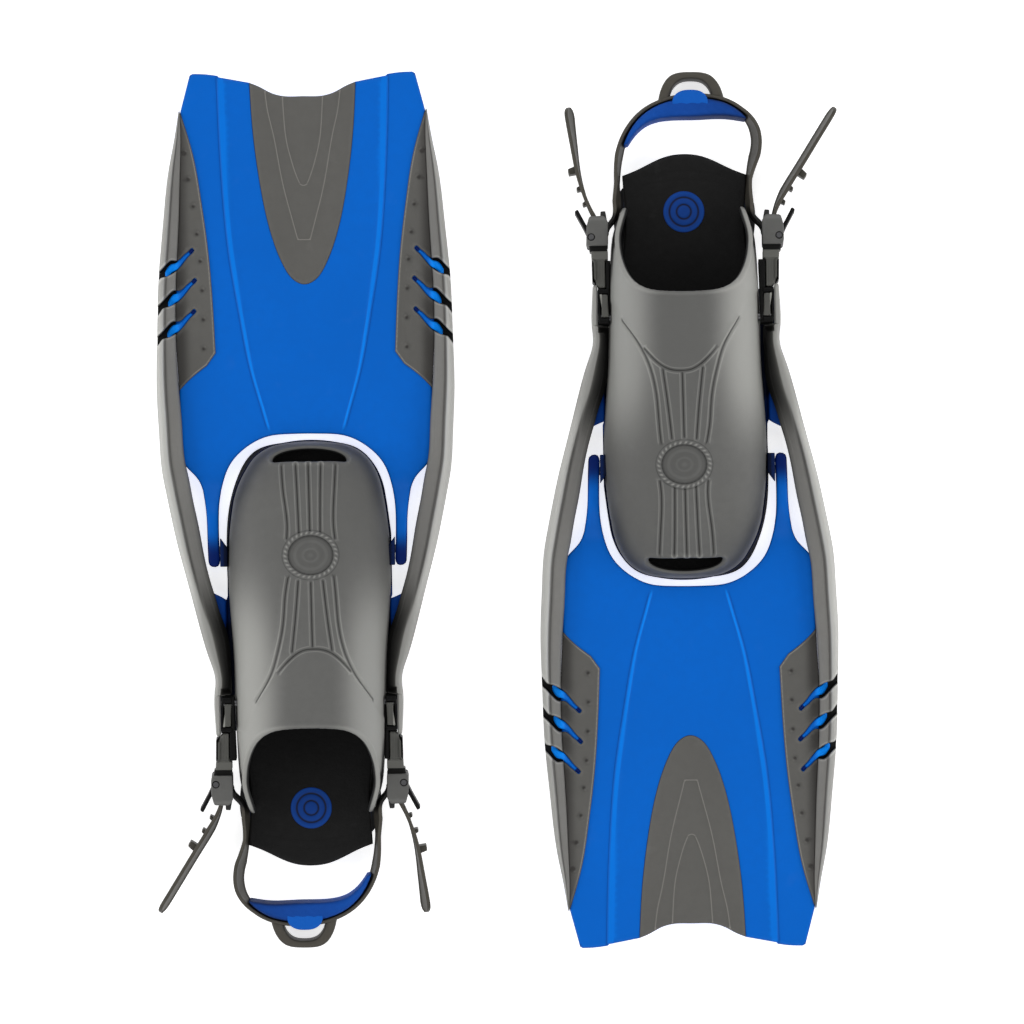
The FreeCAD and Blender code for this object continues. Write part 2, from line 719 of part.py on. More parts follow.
def build_fin(number):
    """All the pieces of one fin, by node name."""
    pieces = {}

    def add(name, builder, *arguments):
        label = f"{name}_{number}"
        pieces[label] = builder(label, *arguments)

    add("foot_pocket", build_pocket)
    add("foot_frame", build_frame)
    add("sole_pad", build_sole)
    add("footbed", build_footbed)
    add("pivot_pins", cross_pin, "pivot_inner", "pivot_length", "pivot_radius", "pivot_y", "pivot_z")
    add("strap_posts", cross_pin, "post_inner", "post_length", "post_radius", "post_y", "post_z")
    add("blade", build_blade)
    add("blade_insert", build_insert)
    for side, sign in SIDES.items():
        add(f"side_panel_{side}", build_panel, sign)
        add(f"rail_front_{side}", build_rail_front, sign)
        add(f"rail_flex_{side}", build_rail, sign, [FLEX_INNER], FLEX_OUTER, RAIL_FLEX_TOP)
        add(f"rail_rear_{side}", build_rail_rear, sign)
        add(f"buckle_frame_{side}", build_buckle_frame, sign)
        add(f"buckle_tongue_{side}", build_tongue, sign)
        add(f"release_button_{side}", build_button, sign)
        add(f"buckle_head_{side}", build_head, sign)
        add(f"release_lever_{side}", build_lever, sign)
    add("lever_pins", build_lever_pins)
    add("heel_strap", lambda label: tipped(build_strap(label)))
    add("heel_pad", lambda label: tipped(build_heel_pad(label)))
    return pieces


def place_fin(pieces, number):
    """Move a finished fin to its side; the second is turned half a turn."""
    turn = 0 if number == 1 else 180
    offset = -size("fin_spacing") / 2 if number == 1 else size("fin_spacing") / 2
    where = FreeCAD.Placement(Vector(offset, 0, 0), FreeCAD.Rotation(Vector(0, 0, 1), turn))
    for piece in pieces.values():
        piece.Placement = where.multiply(piece.Placement)


def check(piece):
    """Stop if a piece failed to build or isn't sound."""
    if piece.Shape.isNull() or not piece.Shape.isValid():
        raise ValueError(f"{piece.Label}: the shape is missing or not valid")


fins = {}
for fin_number in (1, 2):
    fin = build_fin(fin_number)
    place_fin(fin, fin_number)
    fins.update(fin)
doc.recompute()

for item in doc.Objects:
    if "Invalid" in item.State or "Error" in item.State:
        raise ValueError(f"{item.Label}: {item.State}")

os.makedirs("parts", exist_ok=True)
for node, piece in fins.items():
    check(piece)
    piece.Shape.exportStep(f"parts/{node}.step")
print(len(fins), "pieces")
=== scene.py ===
"""Looks for a pair of open-heel swim fins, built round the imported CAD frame.

Outlines are millimetres in each fin's own frame: u across from its centre line, v along it
with the blade tip at +v, z up from the floor.  The second fin is the first turned half a turn.
"""

import json
import math

import bpy
import numpy as np
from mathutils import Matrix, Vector, kdtree
from mathutils.geometry import delaunay_2d_cdt


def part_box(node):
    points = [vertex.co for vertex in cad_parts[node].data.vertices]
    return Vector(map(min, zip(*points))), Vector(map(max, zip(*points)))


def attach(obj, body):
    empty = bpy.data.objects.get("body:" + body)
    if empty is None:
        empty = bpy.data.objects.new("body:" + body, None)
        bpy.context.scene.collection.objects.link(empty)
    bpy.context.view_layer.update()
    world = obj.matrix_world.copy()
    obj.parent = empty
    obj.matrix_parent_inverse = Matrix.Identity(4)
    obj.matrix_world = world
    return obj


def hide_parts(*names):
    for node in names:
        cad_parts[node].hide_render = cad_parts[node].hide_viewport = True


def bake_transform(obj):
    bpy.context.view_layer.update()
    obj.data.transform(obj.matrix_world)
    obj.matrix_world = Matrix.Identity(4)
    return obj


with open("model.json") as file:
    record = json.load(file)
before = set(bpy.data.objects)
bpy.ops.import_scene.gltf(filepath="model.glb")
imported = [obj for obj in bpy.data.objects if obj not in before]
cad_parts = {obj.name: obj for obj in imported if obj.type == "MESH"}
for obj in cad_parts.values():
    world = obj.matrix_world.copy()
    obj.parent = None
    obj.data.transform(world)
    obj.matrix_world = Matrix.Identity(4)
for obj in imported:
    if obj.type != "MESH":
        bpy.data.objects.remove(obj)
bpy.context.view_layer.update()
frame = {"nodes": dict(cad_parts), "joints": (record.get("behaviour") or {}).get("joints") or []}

# ---------------- places

TURN = {1: 1.0, 2: -1.0}
SIDES = {"left": -1, "right": 1}
CENTRE = {n: sum(c.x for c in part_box(f"blade_{n}")) / 2 for n in TURN}


def levels(node):
    """Bottom and top of a CAD node, in millimetres."""
    low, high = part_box(node)
    return low.z * 1000, high.z * 1000


def place(points, n):
    """Fin points in millimetres to the row frame in metres."""
    out = np.array(points, float) / 1000
    out[:, 0] = CENTRE[n] + TURN[n] * out[:, 0]
    out[:, 1] *= TURN[n]
    return out


JOINTS = {j["name"]: j for j in frame["joints"]}
POST = [JOINTS["strap_swing_1"]["pos_m"][k] * 1000 for k in (1, 2)]
LEVER_AXIS = JOINTS["lever_right_1"]["axis"]
TILT = math.atan2(-LEVER_AXIS[1], LEVER_AXIS[2])


def tipped(points):
    """The strap and its buckles are drawn level, then tipped back about the posts."""
    p = np.array(points, float)
    dy, dz = p[:, 1] - POST[0], p[:, 2] - POST[1]
    p[:, 1] = POST[0] + dy * math.cos(TILT) - dz * math.sin(TILT)
    p[:, 2] = POST[1] + dy * math.sin(TILT) + dz * math.cos(TILT)
    return p


# ---------------- curves and distances


def left_of(line):
    """The direction to the left at each point of a line."""
    along = np.gradient(line, axis=0)
    return np.stack([-along[:, 1], along[:, 0]], 1) / np.linalg.norm(along, axis=1)[:, None]


def run_of(line):
    """The distance along a line to each of its points."""
    return np.r_[0, np.cumsum(np.linalg.norm(np.diff(line, axis=0), axis=1))]


def spline(points, step=2.0):
    """A smooth curve through points, sampled evenly."""
    p = np.array(points, float)
    d = run_of(p)
    t = np.linspace(0, d[-1], max(2, int(round(d[-1] / step)) + 1))
    count = len(p)
    if count == 2:
        return p[0] + (p[1] - p[0]) * (t / d[-1])[:, None]
    h = np.diff(d)
    system, right = np.eye(count), np.zeros_like(p)
    for i in range(1, count - 1):
        system[i, i - 1 : i + 2] = h[i - 1], 2 * (h[i - 1] + h[i]), h[i]
        right[i] = 6 * ((p[i + 1] - p[i]) / h[i] - (p[i] - p[i - 1]) / h[i - 1])
    m = np.linalg.solve(system, right)
    k = np.clip(np.searchsorted(d, t) - 1, 0, count - 2)
    a, b, w = (d[k + 1] - t)[:, None], (t - d[k])[:, None], h[k][:, None]
    bend = (m[k] * a**3 + m[k + 1] * b**3) / (6 * w)
    return bend + (p[k] / w - m[k] * w / 6) * a + (p[k + 1] / w - m[k + 1] * w / 6) * b


def loop(stretches, step=2.0):
    """A closed outline from stretches, each a smooth curve."""
    line = []
    for stretch in stretches:
        for point in spline(stretch, step):
            if not line or np.linalg.norm(point - line[-1]) > 0.05:
                if line and np.linalg.norm(point - line[-1]) > 1.5 * step:
                    line.extend(spline([line[-1], point], step)[1:-1])
                line.append(point)
    if np.linalg.norm(line[0] - line[-1]) < 0.05:
        line.pop()
    return np.array(line)


def corners(points, radius=0.8, step=1.2):
    """A closed outline of straight lines with rounded corners."""
    p = np.array(points, float)
    line = []
    for before, at, after in zip(np.roll(p, 1, 0), p, np.roll(p, -1, 0)):
        to, away = before - at, after - at
        reach = min(radius, 0.4 * np.linalg.norm(to), 0.4 * np.linalg.norm(away))
        start = at + to / np.linalg.norm(to) * reach
        end = at + away / np.linalg.norm(away) * reach
        for t in (0, 0.25, 0.5, 0.75, 1):
            line.append(start * (1 - t) ** 2 + 2 * at * t * (1 - t) + end * t * t)
    dense = []
    for a, b in zip(line, line[1:] + line[:1]):
        dense.extend(spline([a, b], step)[:-1])
    return np.array(dense)


def circle(x, y, radius, count=28, squash=1):
    a = np.linspace(0, 2 * math.pi, count, endpoint=False)
    return np.column_stack([x + radius * np.cos(a), y + squash * radius * np.sin(a)])


def ring_row(x, y, radius, gap, least, squash=1):
    """A circle of points about gap apart, at least so many."""
    return circle(x, y, radius, max(least, int(6.283 * radius / gap)), squash)


def sided(points, sign):
    return np.array(points, float) * np.array([sign, 1.0])


def mirrored(points):
    return sided(points, -1)[::-1]


def across(stretch):
    """A stretch that starts or ends on the centre line, carried on over to the other side."""
    s = np.array(stretch, float)
    return np.vstack([mirrored(s)[:-1], s]) if s[0, 0] == 0 else np.vstack([s, mirrored(s)[1:]])


def both_halves(right):
    """The whole outline of an even shape, from the stretches of its right half."""
    first, *middle, last = right
    return [across(first), *middle, across(last), *[mirrored(s) for s in reversed(middle)]]


def edges_of(*lines, closed=True):
    """Start and end points of the straight edges of some lines."""
    starts, ends = [], []
    for line in lines:
        a = np.asarray(line, float)
        starts.append(a if closed else a[:-1])
        ends.append(np.roll(a, -1, 0) if closed else a[1:])
    return np.vstack(starts), np.vstack(ends)


def distance(points, edges):
    """Distance from each point to the nearest edge."""
    a, b = edges
    ab = b - a
    square = np.maximum((ab**2).sum(1), 1e-12)
    best = np.empty(len(points))
    for s in range(0, len(points), 1000):
        p = points[s : s + 1000, None]
        t = np.clip(((p - a) * ab).sum(2) / square, 0, 1)
        best[s : s + 1000] = np.sqrt(((p - a - ab * t[..., None]) ** 2).sum(2)).min(1)
    return best


def inside(points, line):
    a, b = edges_of(line)
    found = np.zeros(len(points), bool)
    for s in range(0, len(points), 2000):
        x, y = points[s : s + 2000, 0:1], points[s : s + 2000, 1:2]
        slope = (b[:, 0] - a[:, 0]) / (b[:, 1] - a[:, 1] + 1e-30)
        crossed = ((a[:, 1] > y) != (b[:, 1] > y)) & (x < slope * (y - a[:, 1]) + a[:, 0])
        found[s : s + 2000] = crossed.sum(1) % 2 == 1
    return found


def smooth(x):
    x = np.clip(x, 0, 1)
    return x * x * (3 - 2 * x)


def bump(d, width):
    return np.exp(-((d / width) ** 2))


# ---------------- surfaces

RIM_ROWS = (0.06, 0.22, 0.5, 1.0)


def beside(line, offsets, step=1.2):
    """Points along a line and at some distances to both sides of it."""
    centre = spline(line, step) if len(line) < 40 else np.asarray(line, float)
    return np.vstack([centre + left_of(centre) * offset for offset in offsets])


def fill(outline, step, rim, cuts=(), rows=(), clear=0.35):
    """Triangles over an outline less its cuts.

    Points lie close together by the rim and along the rows, and on an even grid elsewhere.
    Returns points, triangles, the directed edges of the boundary and the distance to it.
    """
    lines = [outline, *cuts]
    walls = edges_of(*lines)
    found = []
    for line in lines:
        along = np.roll(line, -1, 0) - np.roll(line, 1, 0)
        across = np.stack([-along[:, 1], along[:, 0]], 1)
        across /= np.maximum(np.linalg.norm(across, axis=1), 1e-9)[:, None]
        for share in RIM_ROWS:
            for side in (-1, 1):
                near = line + across * (side * share * rim)
                found.append(near[distance(near, walls) > 0.93 * share * rim])
    if len(rows):
        near = np.vstack(rows)
        found.append(near[distance(near, walls) > rim * 1.05])
    near = np.vstack(found)
    tree = kdtree.KDTree(len(near))
    for i, p in enumerate(near):
        tree.insert((p[0], p[1], 0), i)
    tree.balance()
    fine = np.ones(len(near), bool)
    for i, p in enumerate(near):
        if fine[i]:
            for _, j, _ in tree.find_range((p[0], p[1], 0), clear * min(rim, 0.5)):
                if j > i:
                    fine[j] = False
    low, high = outline.min(0), outline.max(0)
    xs, ys = np.arange(low[0], high[0], step), np.arange(low[1], high[1], step * 0.866)
    grid = np.stack(np.meshgrid(xs, ys), 2)
    grid[1::2, :, 0] += step / 2
    grid = grid.reshape(-1, 2)
    grid = grid[distance(grid, walls) > rim + 0.3 * step]
    apart = [p for p in grid if tree.find((p[0], p[1], 0))[2] > 0.55 * step]
    points, ties = [], []
    for line in lines:
        start = len(points)
        points.extend(line)
        ties.extend((start + i, start + (i + 1) % len(line)) for i in range(len(line)))
    extra = np.vstack([near[fine], np.reshape(apart, (-1, 2))])
    kept = inside(extra, outline)
    for cut in cuts:
        kept &= ~inside(extra, cut)
    points.extend(extra[kept])
    made = delaunay_2d_cdt([Vector(p) for p in points], ties, [], 0, 1e-5)
    flat = np.array([v[:] for v in made[0]])
    tris = np.array([f for f in made[2] if len(f) == 3])
    middle = flat[tris].mean(1)
    kept = inside(middle, outline)
    for cut in cuts:
        kept &= ~inside(middle, cut)
    tris = tris[kept]
    used, tris = np.unique(tris, return_inverse=True)
    flat, tris = flat[used], tris.reshape(-1, 3)
    sides = np.vstack([tris[:, (0, 1)], tris[:, (1, 2)], tris[:, (2, 0)]])
    code = sides[:, 0] * len(flat) + sides[:, 1]
    border = sides[~np.isin(code, sides[:, 1] * len(flat) + sides[:, 0])]
    away = distance(flat, (flat[border[:, 0]], flat[border[:, 1]]))
    return flat, tris, border, away


def closed(tris, border, upper, lower):
    """A closed skin from its upper and lower points."""
    n = len(upper)
    faces = [*tris.tolist(), *(tris[:, ::-1] + n).tolist()]
    faces += [(int(j), int(i), int(i + n), int(j + n)) for i, j in border]
    return np.vstack([upper, lower]), faces


def shell(flat, tris, border, top, bottom):
    """A closed skin over plan points, from its heights."""
    return closed(tris, border, np.column_stack([flat, top]), np.column_stack([flat, bottom]))


def drop(d, radius):
    """How far a rounded edge falls, by distance from the edge."""
    x = np.clip(radius - d, 0, radius)
    return radius - np.sqrt(np.maximum(radius**2 - x**2, 0))


def plate(outline, low, high, radius, step=2.5, cuts=(), rows=(), relief=None, under=None, base=None):
    """A plate with rounded edges.  relief and under give raised heights at plan points."""
    flat, tris, border, away = fill(outline, step, radius, cuts, rows)
    rise = relief(flat) if relief else 0
    fall = under(flat) if under else 0
    top = high + rise - drop(away, radius)
    bottom = low + fall + drop(away, radius if base is None else base)
    return shell(flat, tris, border, top, bottom)


def join(*parts):
    """Several skins as one mesh."""
    verts, faces, start = [], [], 0
    for points, skin in parts:
        verts.append(points)
        faces += [tuple(i + start for i in f) for f in skin]
        start += len(points)
    return np.vstack(verts), faces


def tube(rings):
    """A closed skin round a row of rings with the same number of points."""
    rings = np.asarray(rings, float)
    count, size = rings.shape[:2]
    faces = []
    for i in range(count - 1):
        for j in range(size):
            k = (j + 1) % size
            faces.append((i * size + j, i * size + k, (i + 1) * size + k, (i + 1) * size + j))
    faces.append(tuple(reversed(range(size))))
    faces.append(tuple((count - 1) * size + j for j in range(size)))
    return rings.reshape(-1, 3), faces


# ---------------- materials


def srgb(rgb):
    """A colour of 0 to 255, in linear light."""
    return [(c / 255 / 12.92 if c < 10.3 else ((c / 255 + 0.055) / 1.055) ** 2.4) for c in rgb] + [1.0]


class Look:
    """A new material and its nodes.  A value is a number, a colour or another node's output."""

    def __init__(self, name):
        self.made = bpy.data.materials.new(name)
        self.made.use_nodes = True
        self.tree = self.made.node_tree
        self.shader = self.tree.nodes["Principled BSDF"]

    def feed(self, item, key, value):
        if isinstance(value, bpy.types.NodeSocket):
            self.tree.links.new(value, item.inputs[key])
        else:
            item.inputs[key].default_value = value

    def finish(self, **values):
        """Sets inputs of the shader by name, with _ for a space."""
        for key, value in values.items():
            self.feed(self.shader, key.replace("_", " "), value)
        return self.made

    def node(self, kind, **values):
        """Names are the node's inputs, with _ for a space, or its settings."""
        item = self.tree.nodes.new("ShaderNode" + kind)
        for key, value in values.items():
            if key.replace("_", " ") in item.inputs:
                self.feed(item, key.replace("_", " "), value)
            else:
                setattr(item, key, value)
        return item

    def noise(self, scale, detail, source):
        item = self.node("TexNoise", Scale=scale, Detail=detail, Roughness=0.6, Vector=source)
        return item.outputs["Fac"]

    def ramp(self, source, low, high):
        item = self.node("MapRange", Value=source, From_Min=low, From_Max=high)
        item.interpolation_type = "SMOOTHSTEP"
        return item.outputs["Result"]

    def maths(self, operation, *values):
        item = self.node("Math", operation=operation)
        for key, value in enumerate(values):
            self.feed(item, key, value)
        return item.outputs[0]

    def mix(self, share, first, second):
        """One colour over another.  The colour inputs of the node are 6 and 7, and its output 2."""
        item = self.node("Mix", data_type="RGBA")
        for key, value in ((0, share), (6, first), (7, second)):
            self.feed(item, key, value)
        return item.outputs[2]


def material(
    name, colour, light=None, dark=None, rough=0.5, grain=0.00035, depth=0.25, mottle=0.05, wear=0.2,
    metal=0.0, specular=0.5, stretch=(1, 1, 1), pores=0.0,
):
    """A moulded surface: mottled colour, fine grain, faint scuffs, and painted light and shade.

    The mesh's attribute of painted light and shade moves the colour to light, a painted highlight
    colour, where it is above 0 and to dark, a painted shade colour, below.
    """
    look = Look(name)
    colour = srgb(colour)
    coords = look.node("TexCoord").outputs["Object"]
    along = look.node("Mapping", Scale=stretch, Vector=coords).outputs["Vector"]
    cloudy = look.noise(11, 3, coords)
    patchy = look.noise(140, 4, along)
    fine = look.noise(1 / grain, 3, along)
    scuffs = look.ramp(look.noise(55, 9, along), 0.6, 0.72)

    def shade(factor):
        return [min(1, c * factor) for c in colour[:3]] + [1.0]

    def over(tint, mask, share, cover):
        return look.mix(look.maths("MULTIPLY", mask, share), tint, cover)

    scuffed = [c + 0.35 * (0.55 - c) * (c < 0.55) for c in colour[:3]] + [1.0]
    tint = look.mix(look.ramp(cloudy, 0.3, 0.7), shade(1 - mottle), shade(1 + mottle))
    tint = over(tint, look.ramp(patchy, 0.35, 0.7), 0.5, shade(1 - 1.5 * mottle))
    tint = over(tint, scuffs, wear * 0.35, scuffed)
    tint = over(tint, look.ramp(fine, 0.35, 0.75), 0.25, shade(1 - 2 * mottle))
    # painted light and shade, read from the mesh and blended towards the painted highlight and painted
    # shade colours
    painted_shading = look.node("Attribute", attribute_name="painted_shading").outputs["Fac"]
    if light:
        tint = look.mix(look.ramp(painted_shading, 0.0, 1.0), tint, srgb(light))
    if dark:
        tint = look.mix(look.ramp(look.maths("MULTIPLY", painted_shading, -1.0), 0.0, 1.0), tint, srgb(dark))

    gloss = look.maths("MULTIPLY_ADD", patchy, 0.16, rough - 0.08)
    gloss = look.maths("ADD", gloss, look.maths("MULTIPLY", scuffs, wear * 0.4))
    height = look.maths("ADD", fine, look.maths("MULTIPLY", patchy, 0.6))
    if pores:
        cells = look.node("TexVoronoi", Scale=1 / (3.2 * grain), feature="F1", Vector=along)
        height = look.maths("ADD", height, look.maths("MULTIPLY", cells.outputs["Distance"], pores))
    relief = look.node("Bump", Strength=depth, Distance=grain * 0.5, Height=height)
    return look.finish(
        Base_Color=tint, Roughness=gloss, Normal=relief.outputs["Normal"], Metallic=metal,
        Specular_IOR_Level=specular,
    )


# a material's second and third colours are its painted highlight and painted shade colours
BLUE = material(
    "blade_plastic_blue", (0, 100, 202), (0, 134, 246), (0, 24, 92),
    rough=0.48, grain=0.0003, depth=0.1, mottle=0.035, wear=0.05, specular=0.1,
)
NAVY = material(
    "frame_plastic_blue", (0, 56, 140), (0, 78, 168), (2, 12, 40),
    grain=0.0003, depth=0.15, wear=0.08, specular=0.12,
)
PANEL = material(
    "panel_rubber", (92, 91, 88), (148, 145, 139), (52, 50, 48),
    rough=0.68, grain=0.0004, depth=0.3, pores=0.5, specular=0.3,
)
RAIL = material(
    "rail_rubber", (119, 118, 115), (186, 186, 182), (10, 10, 10),
    rough=0.55, grain=0.0004, depth=0.2, specular=0.35,
)
POCKET = material(
    "pocket_rubber", (98, 98, 96), (148, 148, 144), (24, 24, 23),
    rough=0.55, grain=0.00045, depth=0.22, pores=0.3, specular=0.25,
)
SOLE = material("sole_rubber", (44, 44, 46), rough=0.75, grain=0.0005, depth=0.5, pores=1.0)
FOAM = material(
    "footbed_foam", (16, 16, 16), (34, 34, 34), (4, 4, 4),
    rough=0.8, grain=0.0006, depth=0.6, pores=1.0, wear=0.1, specular=0.25,
)
EMBLEM = material(
    "emblem_blue", (0, 58, 138), (0, 74, 162), (6, 12, 30),
    rough=0.6, depth=0.2, wear=0.1, specular=0.2,
)
STRAP = material(
    "strap_rubber", (58, 55, 48), (98, 93, 83), (14, 13, 12),
    rough=0.55, grain=0.0003, specular=0.35,
)
PAD = material(
    "heel_pad_foam", (4, 70, 158), (2, 102, 206), (6, 34, 84),
    rough=0.75, grain=0.0005, depth=0.6, pores=0.8, wear=0.1, specular=0.2,
)
BLACK = material(
    "buckle_black", (5, 5, 5), (34, 34, 33),
    grain=0.0003, depth=0.3, mottle=0.08, wear=0.03, specular=0.15,
)
GREY = material(
    "buckle_grey", (84, 84, 80), (150, 150, 144), (22, 22, 21),
    grain=0.0003, depth=0.3, specular=0.35,
)
HEAD = material(
    "buckle_head_grey", (92, 92, 90), (140, 140, 137), (10, 10, 10),
    grain=0.0003, depth=0.35, mottle=0.1, specular=0.35,
)
STEEL = material("pin_steel", (104, 104, 106), rough=0.34, grain=0.0002, metal=1.0, stretch=(1, 1, 9))

# ---------------- pieces


def piece(name, skin, look, body=None, bend=None, stands_for=(), painted_shading=None):
    """One piece on both fins.

    bend holds two bodies and the v where each takes over, but they are not used: with bend the piece
    stays fixed, on no body.  Points past the end of the painted light and shade get 0.
    """
    verts, faces = skin
    if painted_shading is not None:
        painted_shading = np.r_[painted_shading, np.zeros(len(verts) - len(painted_shading))].astype(np.float32)
    for n in TURN:
        mesh = bpy.data.meshes.new(f"{name}_{n}")
        mesh.from_pydata(place(verts, n).tolist(), [], faces)
        mesh.polygons.foreach_set("use_smooth", [True] * len(mesh.polygons))
        # the painted light and shade go onto the mesh as an attribute for its material
        if painted_shading is not None:
            shade = mesh.attributes.new("painted_shading", "FLOAT", "POINT")
            shade.data.foreach_set("value", painted_shading)
        mesh.materials.append(look)
        mesh.update()
        item = bpy.data.objects.new(f"{name}_{n}", mesh)
        bpy.context.scene.collection.objects.link(item)
        if bend:
            first, second, start, end = bend
            ends = place([(0, start, 20), (0, end, 20)], n)
            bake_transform(item)
        else:
            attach(item, f"{body}_{n}")
        if stands_for:
            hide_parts(*[f"{node}_{n}" for node in stands_for])


# ---------------- outlines, right half

TIP_NOTCH = [(0, 299.4), (13, 299.5), (24, 302.6), (31, 306.4), (38.5, 309.5)]
TIP_HORN = [(38.5, 309.5), (50, 311.7), (60.2, 313.6)]
TIP_CORNER = [(61.2, 314.7), (70, 315.9), (79.2, 316.2)]
BLADE_EDGE = [(81.2, 315), (88.3, 288)]
RAIL_INNER = [(88.3, 288), (88, 268), (88.6, 248), (90.2, 207), (92.4, 167), (93, 127), (91.1, 88)]
RAIL_ROOT = [(91.1, 88), (89.2, 62), (87, 35)]
BLADE_ROOT = [(91.1, 88), (90.6, 62), (88.6, 36)]
RAIL_OUTER = [
    (89.6, 288), (92.9, 268), (96.8, 248), (101.5, 207), (105.1, 167), (106.4, 127), (107.1, 86),
    (105.7, 56), (103.9, 30),
]
SHOULDER = [(88.6, 36), (85.6, 32.2), (80.4, 26.9), (76.8, 21.6), (74.8, 16)]
ARM_OUTER = [(74.8, 16), (72.9, 4), (72, -9), (71.8, -20), (71.4, -33)]
ARM_TIP = [(71.4, -33), (70, -38), (64.6, -38.4), (63.1, -34)]
ARM_INNER = [(63.1, -34), (63.7, -4), (63.2, 6), (61.7, 16)]
TOE_GAP = [(61.7, 16), (59, 26), (54.5, 35.6), (44.6, 46), (27, 54.8), (12, 56.2), (0, 56.4)]
INNER_FLEX = [
    (85.2, 27), (82.4, 11.5), (78.2, -9), (74.6, -29.8), (69.6, -51), (66.6, -61), (64, -70),
    (60.8, -79), (58, -88), (56.4, -99), (56, -110),
]
RAIL_END = [(55.7, -118), (55.4, -130.6), (63.4, -131.6), (63.4, -162)]
OUTER_FLEX = [
    (101.4, 16), (97.4, -4), (92.8, -25), (87.6, -45), (83.4, -61), (77.2, -85), (71.2, -105),
    (67.0, -121), (67.8, -130), (67.8, -144), (66.8, -162),
]
PANEL_INNER = [(64.6, 115), (66.6, 157), (70, 197), (74, 227), (78.4, 254), (87.3, 286)]
PANEL_HEEL = [(91.1, 88), (84, 95.6), (71, 106)]
INSERT_EDGE = [(38.5, 309.5), (36.7, 278), (31.7, 237), (23, 197), (15.1, 177), (7.9, 167), (0, 163.7)]
OUTER_V = [(27, 303), (25, 288), (22, 275), (15, 237), (9, 213), (4.5, 196)]
OUTER_V_END = [(-4.5, 196), (4.5, 196)]
INNER_V = [(14.5, 300), (13.6, 284), (12, 268), (8.2, 252), (5, 242), (2.5, 236)]
INNER_V_END = [(-2.5, 236), (0, 235), (2.5, 236)]
FRAME_TOE = [
    (0, 52), (10, 51.5), (20, 50), (33, 46.2), (39.5, 41.6), (47.7, 31), (52.7, 20.5), (57, 0),
    (59, -16),
]
FRAME_SIDE = [(59, -16), (59.4, -62.6)]
FRAME_WEB = [(69.4, -57.6), (68.5, -75), (66.6, -92), (65.7, -108), (65.2, -134), (64.6, -157)]
FRAME_HEEL = [(53, -157), (46, -159), (42, -164), (40, -230), (26, -240), (0, -244)]
WEB_EDGE = [(59, -64), (58.4, -90), (58, -130)]
CHEEK = [(57.5, -25.5), (62.9, -18), (62.9, -38.8), (57.5, -38.8)]
FOOTBED = [
    (0, 46), (18, 45), (30, 40), (44, 14), (50, -20), (50, -70), (47.5, -105), (46, -150),
    (44.5, -185), (43, -205), (43.4, -220), (44.6, -239),
]
FOOTBED_REAR = [(44.6, -239.3), (34.6, -243.2), (23, -248.9), (11.5, -253.3), (0, -254.6)]
GILL_TIPS = [(80.8, 189.2), (79, 167.6), (79.7, 145.4)]
STUD = 2.3
STUDS = [
    (85, 260), (82.4, 241), (79, 221.5), (76.7, 201.5), (74.5, 182), (73.3, 161), (72.7, 140),
    (72.6, 119),
]
CREASE = [
    (61.4, 315), (60.3, 275), (58.2, 233), (53.7, 183.5), (47, 142), (39.2, 101), (31.9, 75),
    (27.1, 58),
]
# one gill, from its tip outward: its front side, then its heel side back to the tip
GILL_FRONT = [
    (-1.6, -0.2), (-1.2, 0.8), (-0.2, 1.6), (2.2, -0.2), (5.4, -2.9), (9.4, -6.7), (11.6, -7.5),
    (14.6, -7.2), (18, -9.4), (21.5, -13.2), (33, -24),
]
GILL_HEEL = [
    (33, -31), (25, -23), (22.4, -19.8), (19.6, -19), (15.2, -17.2), (11.3, -14.5), (5.4, -8),
    (1.2, -3.3), (-0.6, -1.7), (-1.6, -0.2),
]
CORE_FRONT = [
    (-1.2, -0.2), (-0.8, 0.7), (0, 1.0), (2.2, -0.7), (5.4, -3.4), (9.6, -7.4), (12, -9.2),
    (14.8, -9.8), (17.4, -12), (19.4, -15.6),
]
CORE_HEEL = [
    (19.4, -18.2), (18, -19.2), (15, -16.7), (11.2, -14), (5.5, -7.6), (1.2, -2.8), (-0.5, -1.2),
    (-1.2, -0.2),
]


def gill(tip, sign, shape, reach=99):
    """One gill's outline, no further from the centre line than reach."""
    line = np.vstack([spline(stretch, 0.8) for stretch in shape]) + tip
    line[:, 0] = np.minimum(line[:, 0], reach)
    keep = np.r_[True, np.linalg.norm(np.diff(line, axis=0), axis=1) > 0.15]
    return sided(line[keep], sign)


def signed(points, line):
    """Distance from a line that runs along the fin, positive away from the centre line."""
    path = spline(line, 2.0)
    order = np.argsort(path[:, 1])
    beyond = np.abs(points[:, 0]) - np.interp(points[:, 1], path[order, 1], path[order, 0])
    reach = distance(np.abs(points) * [1, 0] + points * [0, 1], edges_of(path, closed=False))
    return np.sign(beyond) * reach


# ---------------- blade

BLADE_LOW, BLADE_HIGH = 10.0, 14.0
ARM_TALL = levels("blade_1")[1] - BLADE_HIGH


